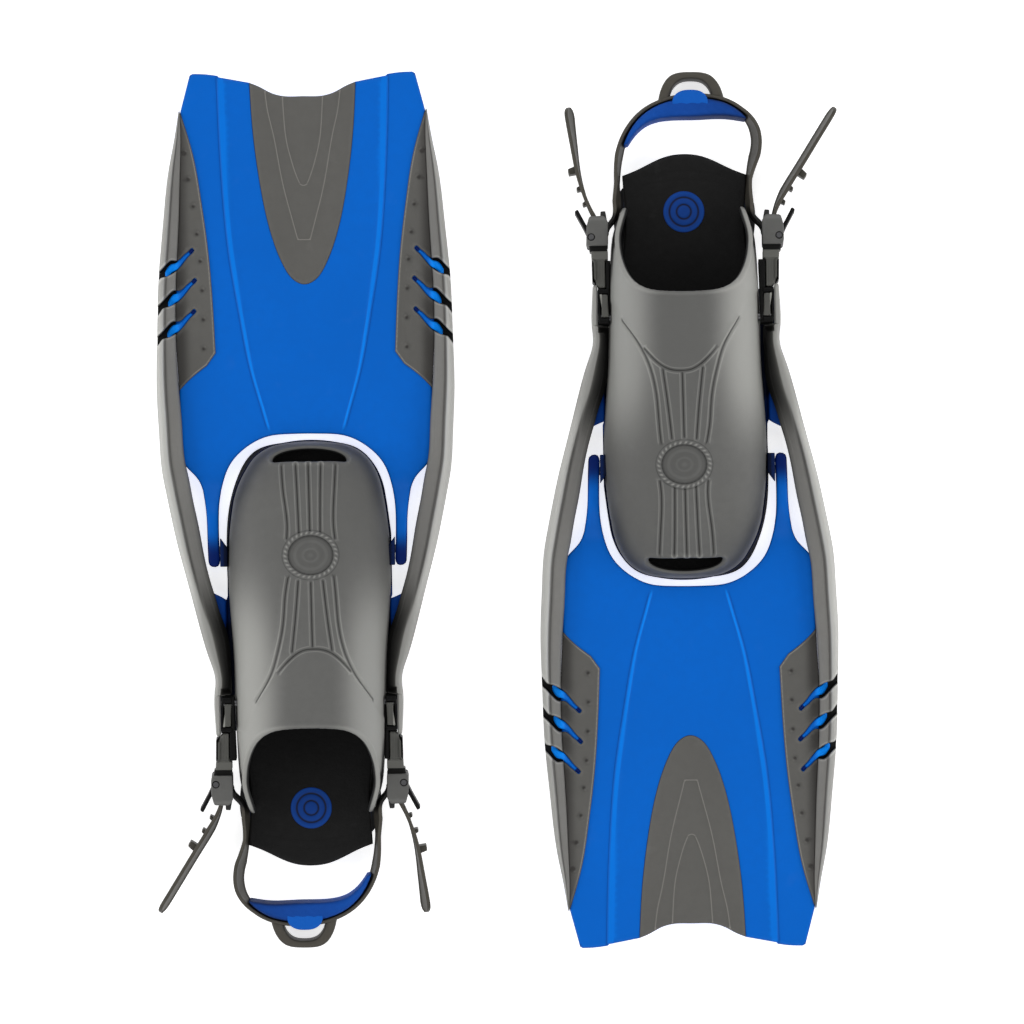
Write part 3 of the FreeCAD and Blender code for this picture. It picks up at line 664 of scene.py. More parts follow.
def build_blade():
    right = [
        TIP_NOTCH, TIP_HORN, TIP_CORNER, BLADE_EDGE, RAIL_INNER, BLADE_ROOT, SHOULDER, ARM_OUTER,
        ARM_TIP, ARM_INNER, TOE_GAP,
    ]
    outline = loop(both_halves(right), 2.2)
    by_crease = (-4.2, -3.0, -2.2, -1.4, -0.7, 0, 0.7, 1.5, 2.6)
    rows = [sided(beside(CREASE, by_crease, 2.2), s) for s in (1, -1)]
    nest = loop([across(INSERT_EDGE)], 1.6)
    rows.append(beside(nest, (-0.35, 0, 0.35, 0.9)))
    rows += [sided(beside(PANEL_INNER, (-1.6, -0.8, 0)), s) for s in (1, -1)]
    rim = 1.7
    flat, tris, border, away = fill(outline, 3.2, rim, rows=rows)
    u, v = np.abs(flat[:, 0]), flat[:, 1]
    fold = signed(flat, CREASE)
    on_arm = smooth((26 - v) / 30) * smooth((u - 52) / 8)
    wide = np.interp(v, (55, 110, 200, 315), (0.7, 1.1, 1.9, 2.5))
    ridge = 0.7 * smooth((wide + 0.5 - np.abs(fold + wide)) / 0.9) - 0.3 * bump(fold - 0.7, 0.7)
    step = 0.3 * smooth((fold + 2.5) / 3)
    fade = smooth((v - 56) / 8)
    in_nest = inside(flat, nest) * smooth(distance(flat, edges_of(nest)) / 0.4)
    curl = 0.35 * smooth((u - 80) / 10) * (v > 30)
    top = BLADE_HIGH + (ridge + step) * fade - 1.5 * in_nest + curl + on_arm * ARM_TALL
    bottom = BLADE_LOW - 2.0 * on_arm - 0.6 * bump(fold, 1.6) * fade
    arm_edge = 0.5 * on_arm * (np.where(on_arm > 0.2, 2.3, rim) - rim) * bump(away, 1.5)
    # painted light and shade: a painted highlight along each crease ridge, strongest towards the toe,
    # painted shade beside it, along the outline and over the arms' rear ends
    glow = np.interp(v, (60, 150, 315), (1.0, 0.6, 0.4))
    painted_shading = glow * smooth((wide + 0.4 - np.abs(fold + wide)) / 0.8) * fade
    painted_shading -= 0.45 * bump(fold - 0.8, 0.7) * fade + 0.7 * bump(away, 0.45) + 0.9 * smooth((-8 - v) / 24)
    skin = shell(flat, tris, border, top - drop(away, rim) - arm_edge, bottom + drop(away, 1.2))
    piece(
        "moulded_blade", skin, BLUE, "blade_body",
        stands_for=["blade"], painted_shading=painted_shading,
    )


def build_insert():
    outline = loop([across(TIP_NOTCH), across(INSERT_EDGE)], 1.8)
    middle, fit = np.array([0.0, 250.0]), [0.992, 0.998]
    outline = middle + (outline - middle) * fit
    lines = [sided(spline(line, 1.4), s) for line in (OUTER_V, INNER_V) for s in (1, -1)]
    lines += [spline(OUTER_V_END, 1.4), spline(INNER_V_END, 1)]
    rows = [beside(line, (-1.6, -0.9, -0.45, 0, 0.45, 0.9, 1.6)) for line in lines]
    low, high = levels("blade_insert_1")
    flat, tris, border, away = fill(outline, 2.8, 0.8, rows=rows)
    d = distance(flat, edges_of(*lines, closed=False))
    top = high + 0.5 * bump(d, 0.55) + 0.15 * bump(away - 1.6, 0.8) - drop(away, 0.8)
    # painted highlight on the raised V lines and just inside the edge, painted shade beside the lines
    # and at the very edge
    painted_shading = 0.75 * bump(d, 0.5) - 0.15 * smooth((2.4 - d) / 1.6)
    painted_shading += 0.2 * bump(away - 1.2, 0.7) - 0.5 * bump(away, 0.25)
    skin = shell(flat, tris, border, top, low + drop(away, 0.4))
    piece(
        "blade_centre_insert", skin, PANEL, "blade_body",
        stands_for=["blade_insert"], painted_shading=painted_shading,
    )


def nearest(points, centres):
    return np.min([np.hypot(*(points - centre).T) for centre in centres], axis=0)


def build_panel(side, sign):
    low, high = BLADE_HIGH, BLADE_HIGH + 1.6
    chamfer = [PANEL_HEEL[-1], PANEL_INNER[0]]
    stretches = [sided(s, sign) for s in (RAIL_INNER, PANEL_HEEL, chamfer, PANEL_INNER)]
    cuts = [gill(tip, sign, (GILL_FRONT, GILL_HEEL), 98) for tip in GILL_TIPS]
    studs = sided(STUDS, sign)
    rows = [circle(x, y, r, 12 if r else 1) for x, y in studs for r in (0, 0.5, 0.9, 1.3, 1.7, STUD)]
    hem = edges_of(*[spline(s, 1.8) for s in stretches[1:]], closed=False)
    rows.append(np.vstack([beside(s, (-1.5, -1.0, 1.0, 1.5, 2.2, -2.2)) for s in stretches[1:]]))
    flat, tris, border, away = fill(loop(stretches, 1.8), 2.4, 0.6, cuts=cuts, rows=rows)
    knob = np.sqrt(np.clip(1 - (nearest(flat, studs) / STUD) ** 2, 0, 1))
    # spots a little off each stud's centre, for its painted highlight and painted shade
    lit, shaded = [nearest(flat, studs + [sign * x, y]) for x, y in ((-0.4, 0.7), (0.5, -0.8))]
    d = distance(flat, hem)
    lips = np.min([distance(flat, edges_of(c)) for c in cuts], axis=0)
    hollow = 0.35 * smooth((d - 2.5) / 6) * smooth((lips - 1.5) / 3)
    top = high + 1.1 * knob + 0.35 * bump(d - 1.1, 0.7) + 0.4 * bump(lips - 1.0, 0.7)
    top -= hollow + drop(away, 0.6)
    # painted highlight on the hem bead, the gill lips and each stud's lit side; painted shade on the
    # other side, at the edge and more towards the rail
    painted_shading = 0.65 * bump(d - 0.9, 0.6) + 0.3 * bump(lips - 0.8, 0.7) + 0.4 * bump(lit, 0.9)
    painted_shading -= 1.1 * bump(shaded, 1.4) + 0.4 * bump(away, 0.3)
    painted_shading -= 0.75 * smooth((np.abs(flat[:, 0]) - 79) / 11)
    piece(
        f"studded_panel_{side}", shell(flat, tris, border, top, top * 0 + low), PANEL, "blade_body",
        stands_for=[f"side_panel_{side}"], painted_shading=painted_shading,
    )


def build_gill_cores(side, sign):
    def outer(p):
        return smooth((np.abs(p[:, 0]) - 88) / 5)

    def swell(p):
        return 2.2 * outer(p)

    cores = [gill(tip, sign, (CORE_FRONT, CORE_HEEL), 101) for tip in GILL_TIPS]
    skin = join(*[plate(core, 11.5, 15.6, 1.3, 1.2, relief=swell) for core in cores])
    near = nearest(skin[0][:, :2], sided(GILL_TIPS, sign))
    # painted light on each core's raised outer end, painted shadow by its tip
    painted_shading = 1.0 * outer(skin[0]) - 1.5 * smooth((3.4 - near) / 1.6)
    piece(f"gill_cores_{side}", skin, BLUE, "blade_body", painted_shading=painted_shading)


# ---------------- rails

RAIL_TOP_LINE = [
    (-162, 36.5), (-150, 37.6), (-137, 37.8), (-100, 36), (-61, 32), (-15, 30.2), (30, 29),
    (100, 27.5), (150, 25.5), (200, 22.5), (250, 18.5), (290, 15.4),
]
RAIL_BOTTOM_LINE = [
    (-162, 22), (-135, 20), (-110, 14), (-85, 2), (-60, 0), (180, 0), (200, 1.2), (250, 4),
    (290, 7),
]
# across the rail from its inner edge: share of the width, fall from the top line, painted light and
# shade
RAIL_PROFILE = [
    (0.0, 8.0, -0.45), (0.015, 6.6, -0.3), (0.06, 5.4, -0.05), (0.16, 4.3, 0), (0.3, 3.4, 0.04),
    (0.42, 2.8, 0.04), (0.5, 2.7, -0.1), (0.55, 3.0, -0.35), (0.58, 3.1, -0.5), (0.61, 2.6, -0.3),
    (0.645, 1.4, 0.35), (0.69, 0.55, 0.9), (0.75, 0.1, 1), (0.82, 0.1, 0.95), (0.87, 0.6, 0.9),
    (0.92, 1.6, 0.8), (0.96, 3.0, 0.7), (0.985, 4.6, 0.5), (1.0, 6.4, 0.4),
]
# the same behind the foot, where the inner side is painted dark as shade
REAR_PROFILE = [
    (0.0, 18, -1), (0.03, 17, -1), (0.1, 14.5, -0.95), (0.2, 11.5, -0.85), (0.32, 8.2, -0.75),
    (0.42, 5.6, -0.65), (0.48, 3.6, -0.55), (0.53, 2.2, -0.4), (0.55, 1.6, -0.2), (0.57, 1.0, 0.1),
    (0.6, 0.5, 0.4), (0.68, 0.25, 0.5), (0.75, 0.0, 0.5), (0.82, 0.05, 0.5), (0.87, 0.3, 0.5),
    (0.92, 0.9, 0.5), (0.96, 1.8, 0.4), (0.985, 2.8, 0.3), (1.0, 4.0, 0.2),
]
# the same at the rail's end, painted light all across
END_PROFILE = [
    (0.0, 2.4, 0.6), (0.1, 1.6, 0.6), (0.3, 0.2, 0.6), (0.5, 0.1, 0.6), (0.82, 0.0, 0.6),
    (0.92, 0.6, 0.6), (0.96, 1.2, 0.6), (0.985, 2.0, 0.5), (1.0, 2.8, 0.4),
]
# the hollow that lets the buckle swing: its radius round the post, and how far out it goes
SWING_ROOM, SWING_REACH = 10.8, 63.2
# behind this v the rail's underside is cut away for the chassis
REAR_FROM = -58
GILL_FLOOR = 10.4
BEND_FROM, BEND_TO = -62, 30


def build_rails():
    inner = np.vstack([spline([*RAIL_INNER, *RAIL_ROOT[1:], *INNER_FLEX], 1.0), RAIL_END])
    outer = spline([*RAIL_OUTER, *OUTER_FLEX], 1.0)
    stations = np.r_[
        289.5, 289.2, 288.6, 287.5, 286,
        np.arange(283.5, 198, -2.6), np.arange(198, 108, -0.45), np.arange(108, -124, -2.4),
        np.arange(-124.4, -133, -0.8), np.arange(-134.4, -156, -2.4),
        -157, -158.6, -159.6, -160.2, -160.5,
    ]
    shrink = np.ones(len(stations))
    shrink[:4] = 0.12, 0.5, 0.8, 0.95
    shrink[-4:] = 0.97, 0.85, 0.6, 0.2

    def side_at(line, v):
        order = np.argsort(line[:, 1])
        return np.interp(v, line[order, 1], line[order, 0])

    tables = [np.array(table) for table in (RAIL_PROFILE, REAR_PROFILE, END_PROFILE)]
    shares = np.unique(np.r_[tables[0][:, 0], tables[1][:, 0], np.linspace(0, 1, 36)])

    def finer(table):
        """A profile at more points, as the gills' edges need."""
        return np.column_stack([shares, *[np.interp(shares, table[:, 0], table[:, k]) for k in (1, 2)]])

    front_shape, rear_shape, end_shape = [finer(table) for table in tables]
    rings, painted_rail_shading = [], []
    for v, small in zip(stations, shrink):
        near, far = side_at(inner, v), side_at(outer, v)
        far = max(far, near + 1.2)
        top = np.interp(v, *np.array(RAIL_TOP_LINE).T)
        base = np.interp(v, *np.array(RAIL_BOTTOM_LINE).T)
        rear = smooth((-38 - v) / 50)
        last = smooth((-129.6 - v) / 2)
        scale = min(1.0, (far - near) / 15, (top - base) / 20)
        scale = scale * (1 - rear) + rear
        shape = front_shape * (1 - rear) + rear_shape * rear
        shape = shape * (1 - last) + end_shape * last
        ring, shade = [], []
        for share, fall, painted_shading in shape:
            ring.append((near + share * (far - near), v, top - fall * scale))
            # the painted highlights weaken towards the tip
            shade.append(painted_shading * (1 - 0.45 * smooth((v - 70) / 120) * (painted_shading > 0)))
        wall = ring[-1][2]
        shelf, deep, inner_low = base, near + 0.3, ring[0][2] * 0.5 + base * 0.5
        if v < REAR_FROM:
            shelf = max(base, 12.6)
            deep = min(deep + (REAR_FROM - v) * 0.35, 0.45 * near + 0.55 * far)
            inner_low = shelf + 0.3
        ring += [
            (far - 0.2, v, wall * 0.6 + base * 0.4), (far - 0.6, v, base + 1.5), (far - 1.2, v, base),
            ((deep + far) / 2, v, base), (deep + 0.5, v, base), (deep, v, min(shelf, base + 1.5)),
            (near + 0.1, v, inner_low),
        ]
        # painted light down the outer wall, fading to painted shade under the rail and up its inner
        # foot
        shade += [0.3, 0.1, -0.2, -0.3, -0.3, -0.4, -0.6]
        ring = np.array(ring)
        hollow = SWING_ROOM**2 - (v - POST[0]) ** 2
        if hollow > 0:
            inboard = ring[:, 0] < SWING_REACH
            ring[inboard, 2] = np.minimum(ring[inboard, 2], POST[1] - math.sqrt(hollow))
        middle = np.array([(near + far) / 2, v, (top + base) / 2])
        rings.append(middle + (ring - middle) * [max(small, 0.3), 1, small])
        painted_rail_shading.append(shade)
    rings, painted_rail_shading = np.array(rings), np.array(painted_rail_shading)
    flat = rings[..., :2].reshape(-1, 2)
    heights, painted_rail_shading = rings[..., 2].reshape(-1), painted_rail_shading.reshape(-1)
    for tip in GILL_TIPS:
        shape = gill(tip, 1, (GILL_FRONT, GILL_HEEL), 120)
        away = distance(flat, edges_of(shape))
        within = smooth((np.where(inside(flat, shape), away, -away) + 0.25) / 0.6)
        lip = bump(away - 1.0, 0.6) * (within < 0.5)
        # painted shadow inside each gill notch, painted highlight on its lip
        painted_rail_shading = np.where(heights > 6, painted_rail_shading * (1 - within) - within + 0.35 * lip, painted_rail_shading)
        heights = np.where(heights > GILL_FLOOR, heights + within * (GILL_FLOOR - heights), heights)
    painted_rail_shading = np.clip(painted_rail_shading, -1, 1)
    rings[..., 2] = heights.reshape(rings.shape[:2])
    for side, sign in SIDES.items():
        verts, faces = tube(rings * [sign, 1, 1])
        if sign > 0:
            faces = [f[::-1] for f in faces]
        piece(
            f"side_rail_{side}", (verts, faces), RAIL, painted_shading=painted_rail_shading,
            bend=("foot_body", "blade_body", BEND_FROM, BEND_TO),
            stands_for=[f"rail_front_{side}", f"rail_flex_{side}", f"rail_rear_{side}"],
        )


# ---------------- foot pocket

POCKET_SECTIONS = [
    (50.9, 3, 8.5), (50.6, 9, 12.5), (49.7, 17, 18.5), (48.2, 25.4, 24.5), (45, 33.2, 30.5),
    (38, 41.8, 38.2), (31, 46.4, 42.8), (24, 49.8, 47), (0, 55.6, 57), (-30, 58.3, 66),
    (-65, 57.8, 74), (-100, 55.4, 80), (-135, 54.5, 83.7), (-165, 53.4, 83.7), (-186, 52.2, 80.5),
    (-198, 50.4, 78), (-214, 44.2, 74), (-222, 40.7, 72),
]
POCKET_RIM = [
    (7, -212.5), (11, -215), (20, -216.5), (30, -214.5), (33, -212), (37.5, -205), (41.6, -196),
    (46, -189), (51, -182), (57, -175.2), (63.8, -168.2), (73.7, -160), (79, -156.8), (84, -154.8),
    (92, -152),
]
DRAIN_FRONT = [
    (-25, 37.4), (-24.6, 39.4), (-21, 42.8), (-11, 46), (2.3, 47.1), (15.6, 46), (25.6, 42.8),
    (29.2, 39.4), (29.6, 37.4),
]
DRAIN_BACK = [
    (29.6, 37.4), (28.6, 36.5), (26, 36.3), (2.3, 36.6), (-21.4, 36.3), (-24, 36.5), (-25, 37.4),
]
GROOVES = [
    [(-17.8, 33), (-16.4, 14), (-13.8, -12), (-14.2, -19)],
    [(-7.6, 34), (-6.6, 14), (-5.4, -15)],
    [(1.4, 34.5), (1.9, 14), (2.4, -14)],
    [(10.4, 34), (10, 14), (9.8, -15)],
    [(21, 33), (20, 14), (19.6, -12), (20.4, -19)],
    [(-13.5, -47), (-15.6, -60), (-17, -78), (-22, -103), (-25, -113), (-37, -135)],
    [(19.4, -47), (20.6, -60), (22, -78), (27.5, -103), (32, -113), (46, -134)],
    [(-6.2, -49.5), (-8, -72), (-11, -100)],
    [(2.8, -50.5), (3.2, -72), (3.7, -96.5)],
    [(11.6, -49.5), (14, -72), (17.6, -99)],
    [
        (-20.3, -114), (-10.4, -103.4), (-3, -99), (4.5, -98), (11, -98.6), (16, -100.4),
        (24.4, -107), (30.5, -114),
    ],
]
BADGE, BADGE_SQUASH = (2.8, -31.0), 0.87
ARCH = [
    (-45, -152), (-37, -135), (-25, -116), (-10.4, -103.4), (4.5, -98), (16, -100.4), (32, -115),
    (46, -134), (52, -146),
]
POCKET_LOW, POCKET_WALL, POCKET_RIM_ROUND = 7.0, 3.2, 1.5
# powers of cosine and sine that make the pocket's section squarer than an ellipse
SIDE_POWER, TOP_POWER = 0.78, 0.8


def leaning(v):
    """How far the pocket's middle lies off the fin's middle line."""
    return np.interp(v, (-140, -100, 10, 31), (1.1, 1.2, 1.3, 2.7))


def build_pocket():
    path = spline(POCKET_SECTIONS, 0.8)
    run = np.r_[0, np.cumsum(np.linalg.norm(np.diff(path, axis=0) * [1, 0.6, 1], axis=1))]

    def sideways(a):
        return np.sign(np.cos(a)) * np.abs(np.cos(a)) ** SIDE_POWER

    turn = np.linspace(0, math.pi, 4001)
    arch = np.column_stack([57 * sideways(turn), 68 * np.sin(turn) ** TOP_POWER])
    girth = run_of(arch)
    half = girth[-1] / 2

    def skin_point(x, y):
        """The place of a point of the unrolled skin: x round the arch, y back from the toe."""
        x, y = np.clip(x, -half, half), np.maximum(y, 0)
        a = np.interp(half - x, girth, turn)
        v, w, t = (np.interp(y, run, path[:, k]) for k in range(3))
        up = POCKET_LOW + (t - POCKET_LOW) * np.sin(a) ** TOP_POWER
        return np.column_stack([leaning(v) + w * sideways(a), v, up])

    def unrolled(points):
        """The points of the unrolled skin over plan points."""
        y = np.interp(-points[:, 1], -path[:, 0], run)
        u = points[:, 0] - leaning(points[:, 1])
        share = np.clip(np.abs(u) / np.interp(y, run, path[:, 1]), 0, 1)
        x = half - np.interp(np.arccos(share ** (1 / SIDE_POWER)), turn, girth)
        return np.column_stack([x * np.where(u < 0, -1, 1), y])

    rim_line = spline([(v, z) for z, v in POCKET_RIM], 0.8)
    ys = np.linspace(0, run[-1], 1500)
    back = []
    for x in np.linspace(-half, half, 190):
        p = skin_point(np.full(len(ys), x), ys)
        over = np.nonzero(p[:, 1] <= np.interp(p[:, 2], rim_line[:, 1], rim_line[:, 0]))[0]
        back.append((x, ys[over[0]] if len(over) else ys[-1]))
    back = np.array(back)
    front = np.column_stack([np.linspace(half, -half, 60), np.zeros(60)])
    left = np.column_stack([np.full(90, -half), np.linspace(0, back[0, 1], 92)[1:-1]])
    right = np.column_stack([np.full(90, half), np.linspace(back[-1, 1], 0, 92)[1:-1]])
    drain = loop([DRAIN_FRONT, DRAIN_BACK], 1.0)
    slot_line = unrolled(drain)

    lines = [spline(g, 1.1) for g in GROOVES]
    by_groove = (-2.7, -2.3, -1.9, -1.5, -1.0, -0.6, -0.3, 0, 0.3, 0.6, 1.0, 1.5, 1.9, 2.3, 2.7)
    rows = [unrolled(beside(g, by_groove)) for g in lines]
    for r in np.r_[np.arange(1, 20, 1.1), 16.2, 16.8, 17.4, 18, 18.6, 19.2, 19.8, 20.4, 21.2]:
        rows.append(unrolled(ring_row(*BADGE, r, 0.9, 10, BADGE_SQUASH)))
    hem = beside(back, (-5.5, -4.2, -3.2, -2.4), 1.0)
    rows.append(hem[hem[:, 1] > 3])
    rows += [slot_line + (slot_line - slot_line.mean(0)) * k for k in (0.07, 0.12, 0.17, 0.24)]
    outline = np.vstack([back, right, front, left])
    flat, tris, border, away = fill(outline, 2.6, 1.5, cuts=[slot_line], rows=rows)

    x, y = flat.T
    step = 0.4
    p = skin_point(x, y)
    du = skin_point(x + step, y) - skin_point(x - step, y)
    dv = skin_point(x, y + step) - skin_point(x, y - step)
    normal = np.cross(dv, du)
    normal /= np.maximum(np.linalg.norm(normal, axis=1), 1e-9)[:, None]
    outward = p - np.column_stack([0 * x, np.minimum(p[:, 1], 20), 0 * x + 5])
    normal[(normal * outward).sum(1) < 0] *= -1

    # relief: grooves with raised sides, the roped badge with its rings, the instep, and lips
    plan = p[:, :2]
    u, v = plan.T
    up = smooth((p[:, 2] - 26) / 6)
    d = distance(plan, edges_of(*lines, closed=False))
    spot = [u - BADGE[0], (v - BADGE[1]) / BADGE_SQUASH]
    r, a = np.hypot(*spot), np.arctan2(spot[1], spot[0])
    off_badge = smooth((r - 19) / 2)
    beads = np.sin(30 * a + 0.9 * (r - 18))
    rope = bump(r - 18.2, 1.35) * (1.0 + 0.4 * beads)
    disc = smooth((16.4 - r) / 1.0)
    rings = 0.55 * bump(r - 11.5, 0.8) + 0.5 * bump(r - 5.5, 0.8) + 0.5 * bump(r, 1.6)
    instep = smooth((np.interp(u, *spline(ARCH, 1.0).T) - v - 0.6) / 3.0)
    drain_d = distance(plan, edges_of(drain))
    hem_d = distance(flat, edges_of(back, closed=False))
    grooves = -0.8 * bump(d, 0.5) + 0.5 * bump(d - 1.9, 0.6)
    relief = up * (grooves * off_badge + rope - 0.5 * disc + rings * disc + 0.8 * instep)
    relief += 0.9 * bump(drain_d - 1.9, 1.1) * up
    relief += 0.7 * bump(hem_d - 1.9, 1.3) - 0.25 * bump(hem_d - 4.8, 0.8)

    # painted light and shade: lit edges, shaded grooves, lit sides to the heel, shaded toe and rear
    # wings
    painted_shading = up * (0.5 * bump(d - 1.9, 0.5) - 0.7 * bump(d, 0.5)) * off_badge
    painted_shading += up * ((0.35 + 0.5 * beads) * bump(r - 18.2, 1.3) + (0.45 * rings - 0.3) * disc)
    painted_shading -= up * (0.8 * bump(r - 16.0, 0.6) + 0.5 * bump(r - 20.4, 0.6))
    painted_shading += 0.35 * bump(drain_d - 2, 1.1) * up + 0.3 * bump(hem_d - 1.8, 1.2)
    painted_shading += smooth((np.abs(u - 2) - 10) / 36) * smooth((-12 - v) / 100)
    outside = np.interp(-v, -path[:, 0], path[:, 1]) - np.abs(u - leaning(v))
    painted_shading -= 0.5 * smooth((v + 20) / 40) * smooth((16 - outside) / 14)
    # painted shade on the outer walls of the rear wings, widening towards the back
    dark_width = 3.4 + 4.2 * smooth((-184 - v) / 18)
    rear_wing_shade = smooth((-154 - v) / 30) * smooth((dark_width - outside) / 1.6) * smooth(hem_d - 2.4)
    painted_shading = np.where(relief < -0.3, np.minimum(painted_shading, -0.2), painted_shading) * (1 - rear_wing_shade) - rear_wing_shade

    wall = np.minimum(POCKET_WALL, 0.8 + y * 0.2)
    edge = drop(away, POCKET_RIM_ROUND) * wall / POCKET_WALL
    upper = p + normal * (relief - edge)[:, None]
    lower = p - normal * (wall - edge)[:, None]
    verts, faces = closed(tris, border, upper, lower)
    # the inside of the shell is painted dark, as shade
    piece(
        "pocket_shell", (verts, [f[::-1] for f in faces]), POCKET, "foot_body",
        stands_for=["foot_pocket"], painted_shading=np.r_[painted_shading, np.full(len(painted_shading), -0.9)],
    )


def build_frame():
    outline = loop(both_halves([FRAME_TOE, FRAME_SIDE, FRAME_WEB, FRAME_HEEL]), 2.4)
    outline[:, 0] += leaning(outline[:, 1]) * smooth((outline[:, 1] + 64) / 4)
    rows = [sided(beside(WEB_EDGE, (-1.5, -0.7, 0, 0.7, 1.5)), s) for s in (1, -1)]

    def webs(p):
        u, v = np.abs(p[:, 0]), p[:, 1]
        return 5 * smooth((u - 57.6) / 2.4) * smooth((-57 - v) / 2) * smooth((v + 158) / 24)

    parts = [plate(outline, 3.0, 7.0, 1.4, 5.0, rows=rows, relief=webs)]
    for sign in SIDES.values():
        cheek = corners(sided(CHEEK, sign), 0.8, 1.0)
        parts.append(plate(cheek, 3.2, levels("pivot_pins_1")[1] + 4, 0.9, 1.5))
    skin = join(*parts)
    u, v = np.abs(skin[0][:, 0]), skin[0][:, 1]
    # painted light on the webs' outer tops just behind the cheeks, painted shade forward of them,
    # inboard by the pocket and more and more towards the heel
    painted_shading = 0.3 - smooth((v + 56) / 4) - smooth((60.2 - u) / 1.4) - 1.2 * smooth((-76 - v) / 16)
    piece(
        "chassis", skin, NAVY, "foot_body", stands_for=["foot_frame"], painted_shading=painted_shading,
    )


def build_footbed():
    outline = loop(both_halves([FOOTBED, FOOTBED_REAR]), 2.2)
    grooves = [[(-30, v), (0, v - 4), (30, v)] for v in (-232, -238)]
    rows = [beside(g, (-1.2, -0.6, 0, 0.6, 1.2)) for g in grooves]
    seams = edges_of(*[spline(g, 1.5) for g in grooves], closed=False)

    def cup(p):
        hollow = smooth(1.2 - np.hypot(p[:, 0] / 34, (p[:, 1] + 214) / 34))
        sides = smooth((np.abs(p[:, 0]) - 30) / 12)
        return -0.9 * hollow - 0.4 * bump(distance(p, seams), 0.6) + 0.5 * sides

    def heel_lift(p):
        return 2.0 * smooth((p[:, 1] + 219) / 3)

    high = levels("footbed_1")[1]
    skin = plate(outline, 7.1, high, 2.0, 3.0, rows=rows, relief=cup, under=heel_lift)
    away = distance(skin[0][:, :2], edges_of(outline))
    # painted highlight along the top's rounded edge
    piece(
        "foam_footbed", skin, FOAM, "foot_body",
        stands_for=["footbed"],
        painted_shading=0.6 * bump(away - 1.3, 0.9) * (skin[0][:, 2] > 11),
    )
    centre = np.array([0.5, -213.0])
    rows = [ring_row(*centre, r, 1.0, 8) for r in np.arange(1.0, 14.2, 0.7)]

    def ring_lines(p, width):
        r = np.hypot(*(p[:, :2] - centre).T)
        return bump(r - 10.4, width) + bump(r - 5.2, width), r

    def rings(p):
        return cup(p) - 0.5 * ring_lines(p, 0.7)[0]

    mark = circle(*centre, 14.8, 72)
    skin = plate(mark, high - 0.6, high + 0.5, 0.35, 2.0, rows=rows, relief=rings, under=cup)
    # painted shade in the ring grooves, painted highlight by the rim
    dark, r = ring_lines(skin[0], 0.75)
    painted_shading = 0.4 * bump(r - 13.6, 0.8) - dark
    piece("footbed_emblem", skin, EMBLEM, "foot_body", painted_shading=painted_shading)


# ---------------- strap

LEFT_TAIL = [
    (-62.8, -198.8), (-63.1, -205), (-65.2, -214), (-70.6, -226), (-81, -243), (-95, -265.5),
    (-109, -288),
]
RIGHT_TAIL = [
    (62.8, -198.8), (63.1, -205), (66.6, -213), (72, -226), (76.4, -243), (79, -261), (81, -276),
    (82.6, -290),
]
HEEL_ROUTE = [
    (-56.2, -198.8), (-55, -202.5), (-50, -208), (-46.6, -219), (-46.2, -232), (-48.6, -246),
    (-52, -260), (-51, -272.5), (-42.8, -285), (-28, -293.6), (-8, -296.4), (13, -293.6),
    (29.5, -285), (41.2, -270.5), (46.8, -254), (48.4, -236), (48.8, -219), (51.2, -208),
    (55.2, -202.5), (56.2, -198.8),
]
PAD_INNER = [
    (-43.5, -279.3), (-30, -281.4), (-8, -281.0), (14, -280.4), (26, -277), (34.5, -270),
    (40.2, -262),
]
PAD_ENDS = [(-47.5, -281), (44.6, -262)]
PAD_LIP = [
    (-17.5, -289.5), (-17, -294.5), (-13.5, -298.6), (-5, -300.4), (3.8, -298.6), (7.4, -294.5),
    (8, -289.5),
]
LOOP_OUTER = [
    (-29.5, -293.2), (-26.5, -303), (-19.5, -311.5), (-5.5, -314), (9, -311.5), (15.5, -303),
    (18.5, -291.8),
]
LOOP_INNER = [
    (-20.5, -295.4), (-18.5, -302), (-13.5, -307.4), (-5.5, -309), (3, -307.4), (8, -302),
    (10, -294.6),
]
TURN_CENTRE = (59.3, -199.5)
STRAP_Z, STRAP_HALF, STRAP_THICK = POST[1], 9.0, 2.6
# along the heel strap: share of its length, degrees that its top leans to the left
HEEL_LEANS = [
    (0, 0), (0.05, -2), (0.09, -12), (0.15, -7), (0.22, -22), (0.29, -17), (0.36, -4), (0.6, -3),
    (0.7, -7), (0.78, -12), (0.86, -6), (0.91, -14), (0.96, -2), (1, 0),
]
# the same for each free tail, and how far its teeth stand from its middle line
TAILS = {
    -1: (LEFT_TAIL, [(0, 0), (0.12, -3), (0.3, -15), (1, -15)], 1.6),
    1: (RIGHT_TAIL, [(0, 0), (0.3, 3), (0.6, 9), (1, 20)], 0.4),
}
# teeth on a tail: distance along it, length, height
TEETH = [(23, 3.0, 3.2), (34.5, 3.4, 3.6), (48, 5.5, 6.5)]


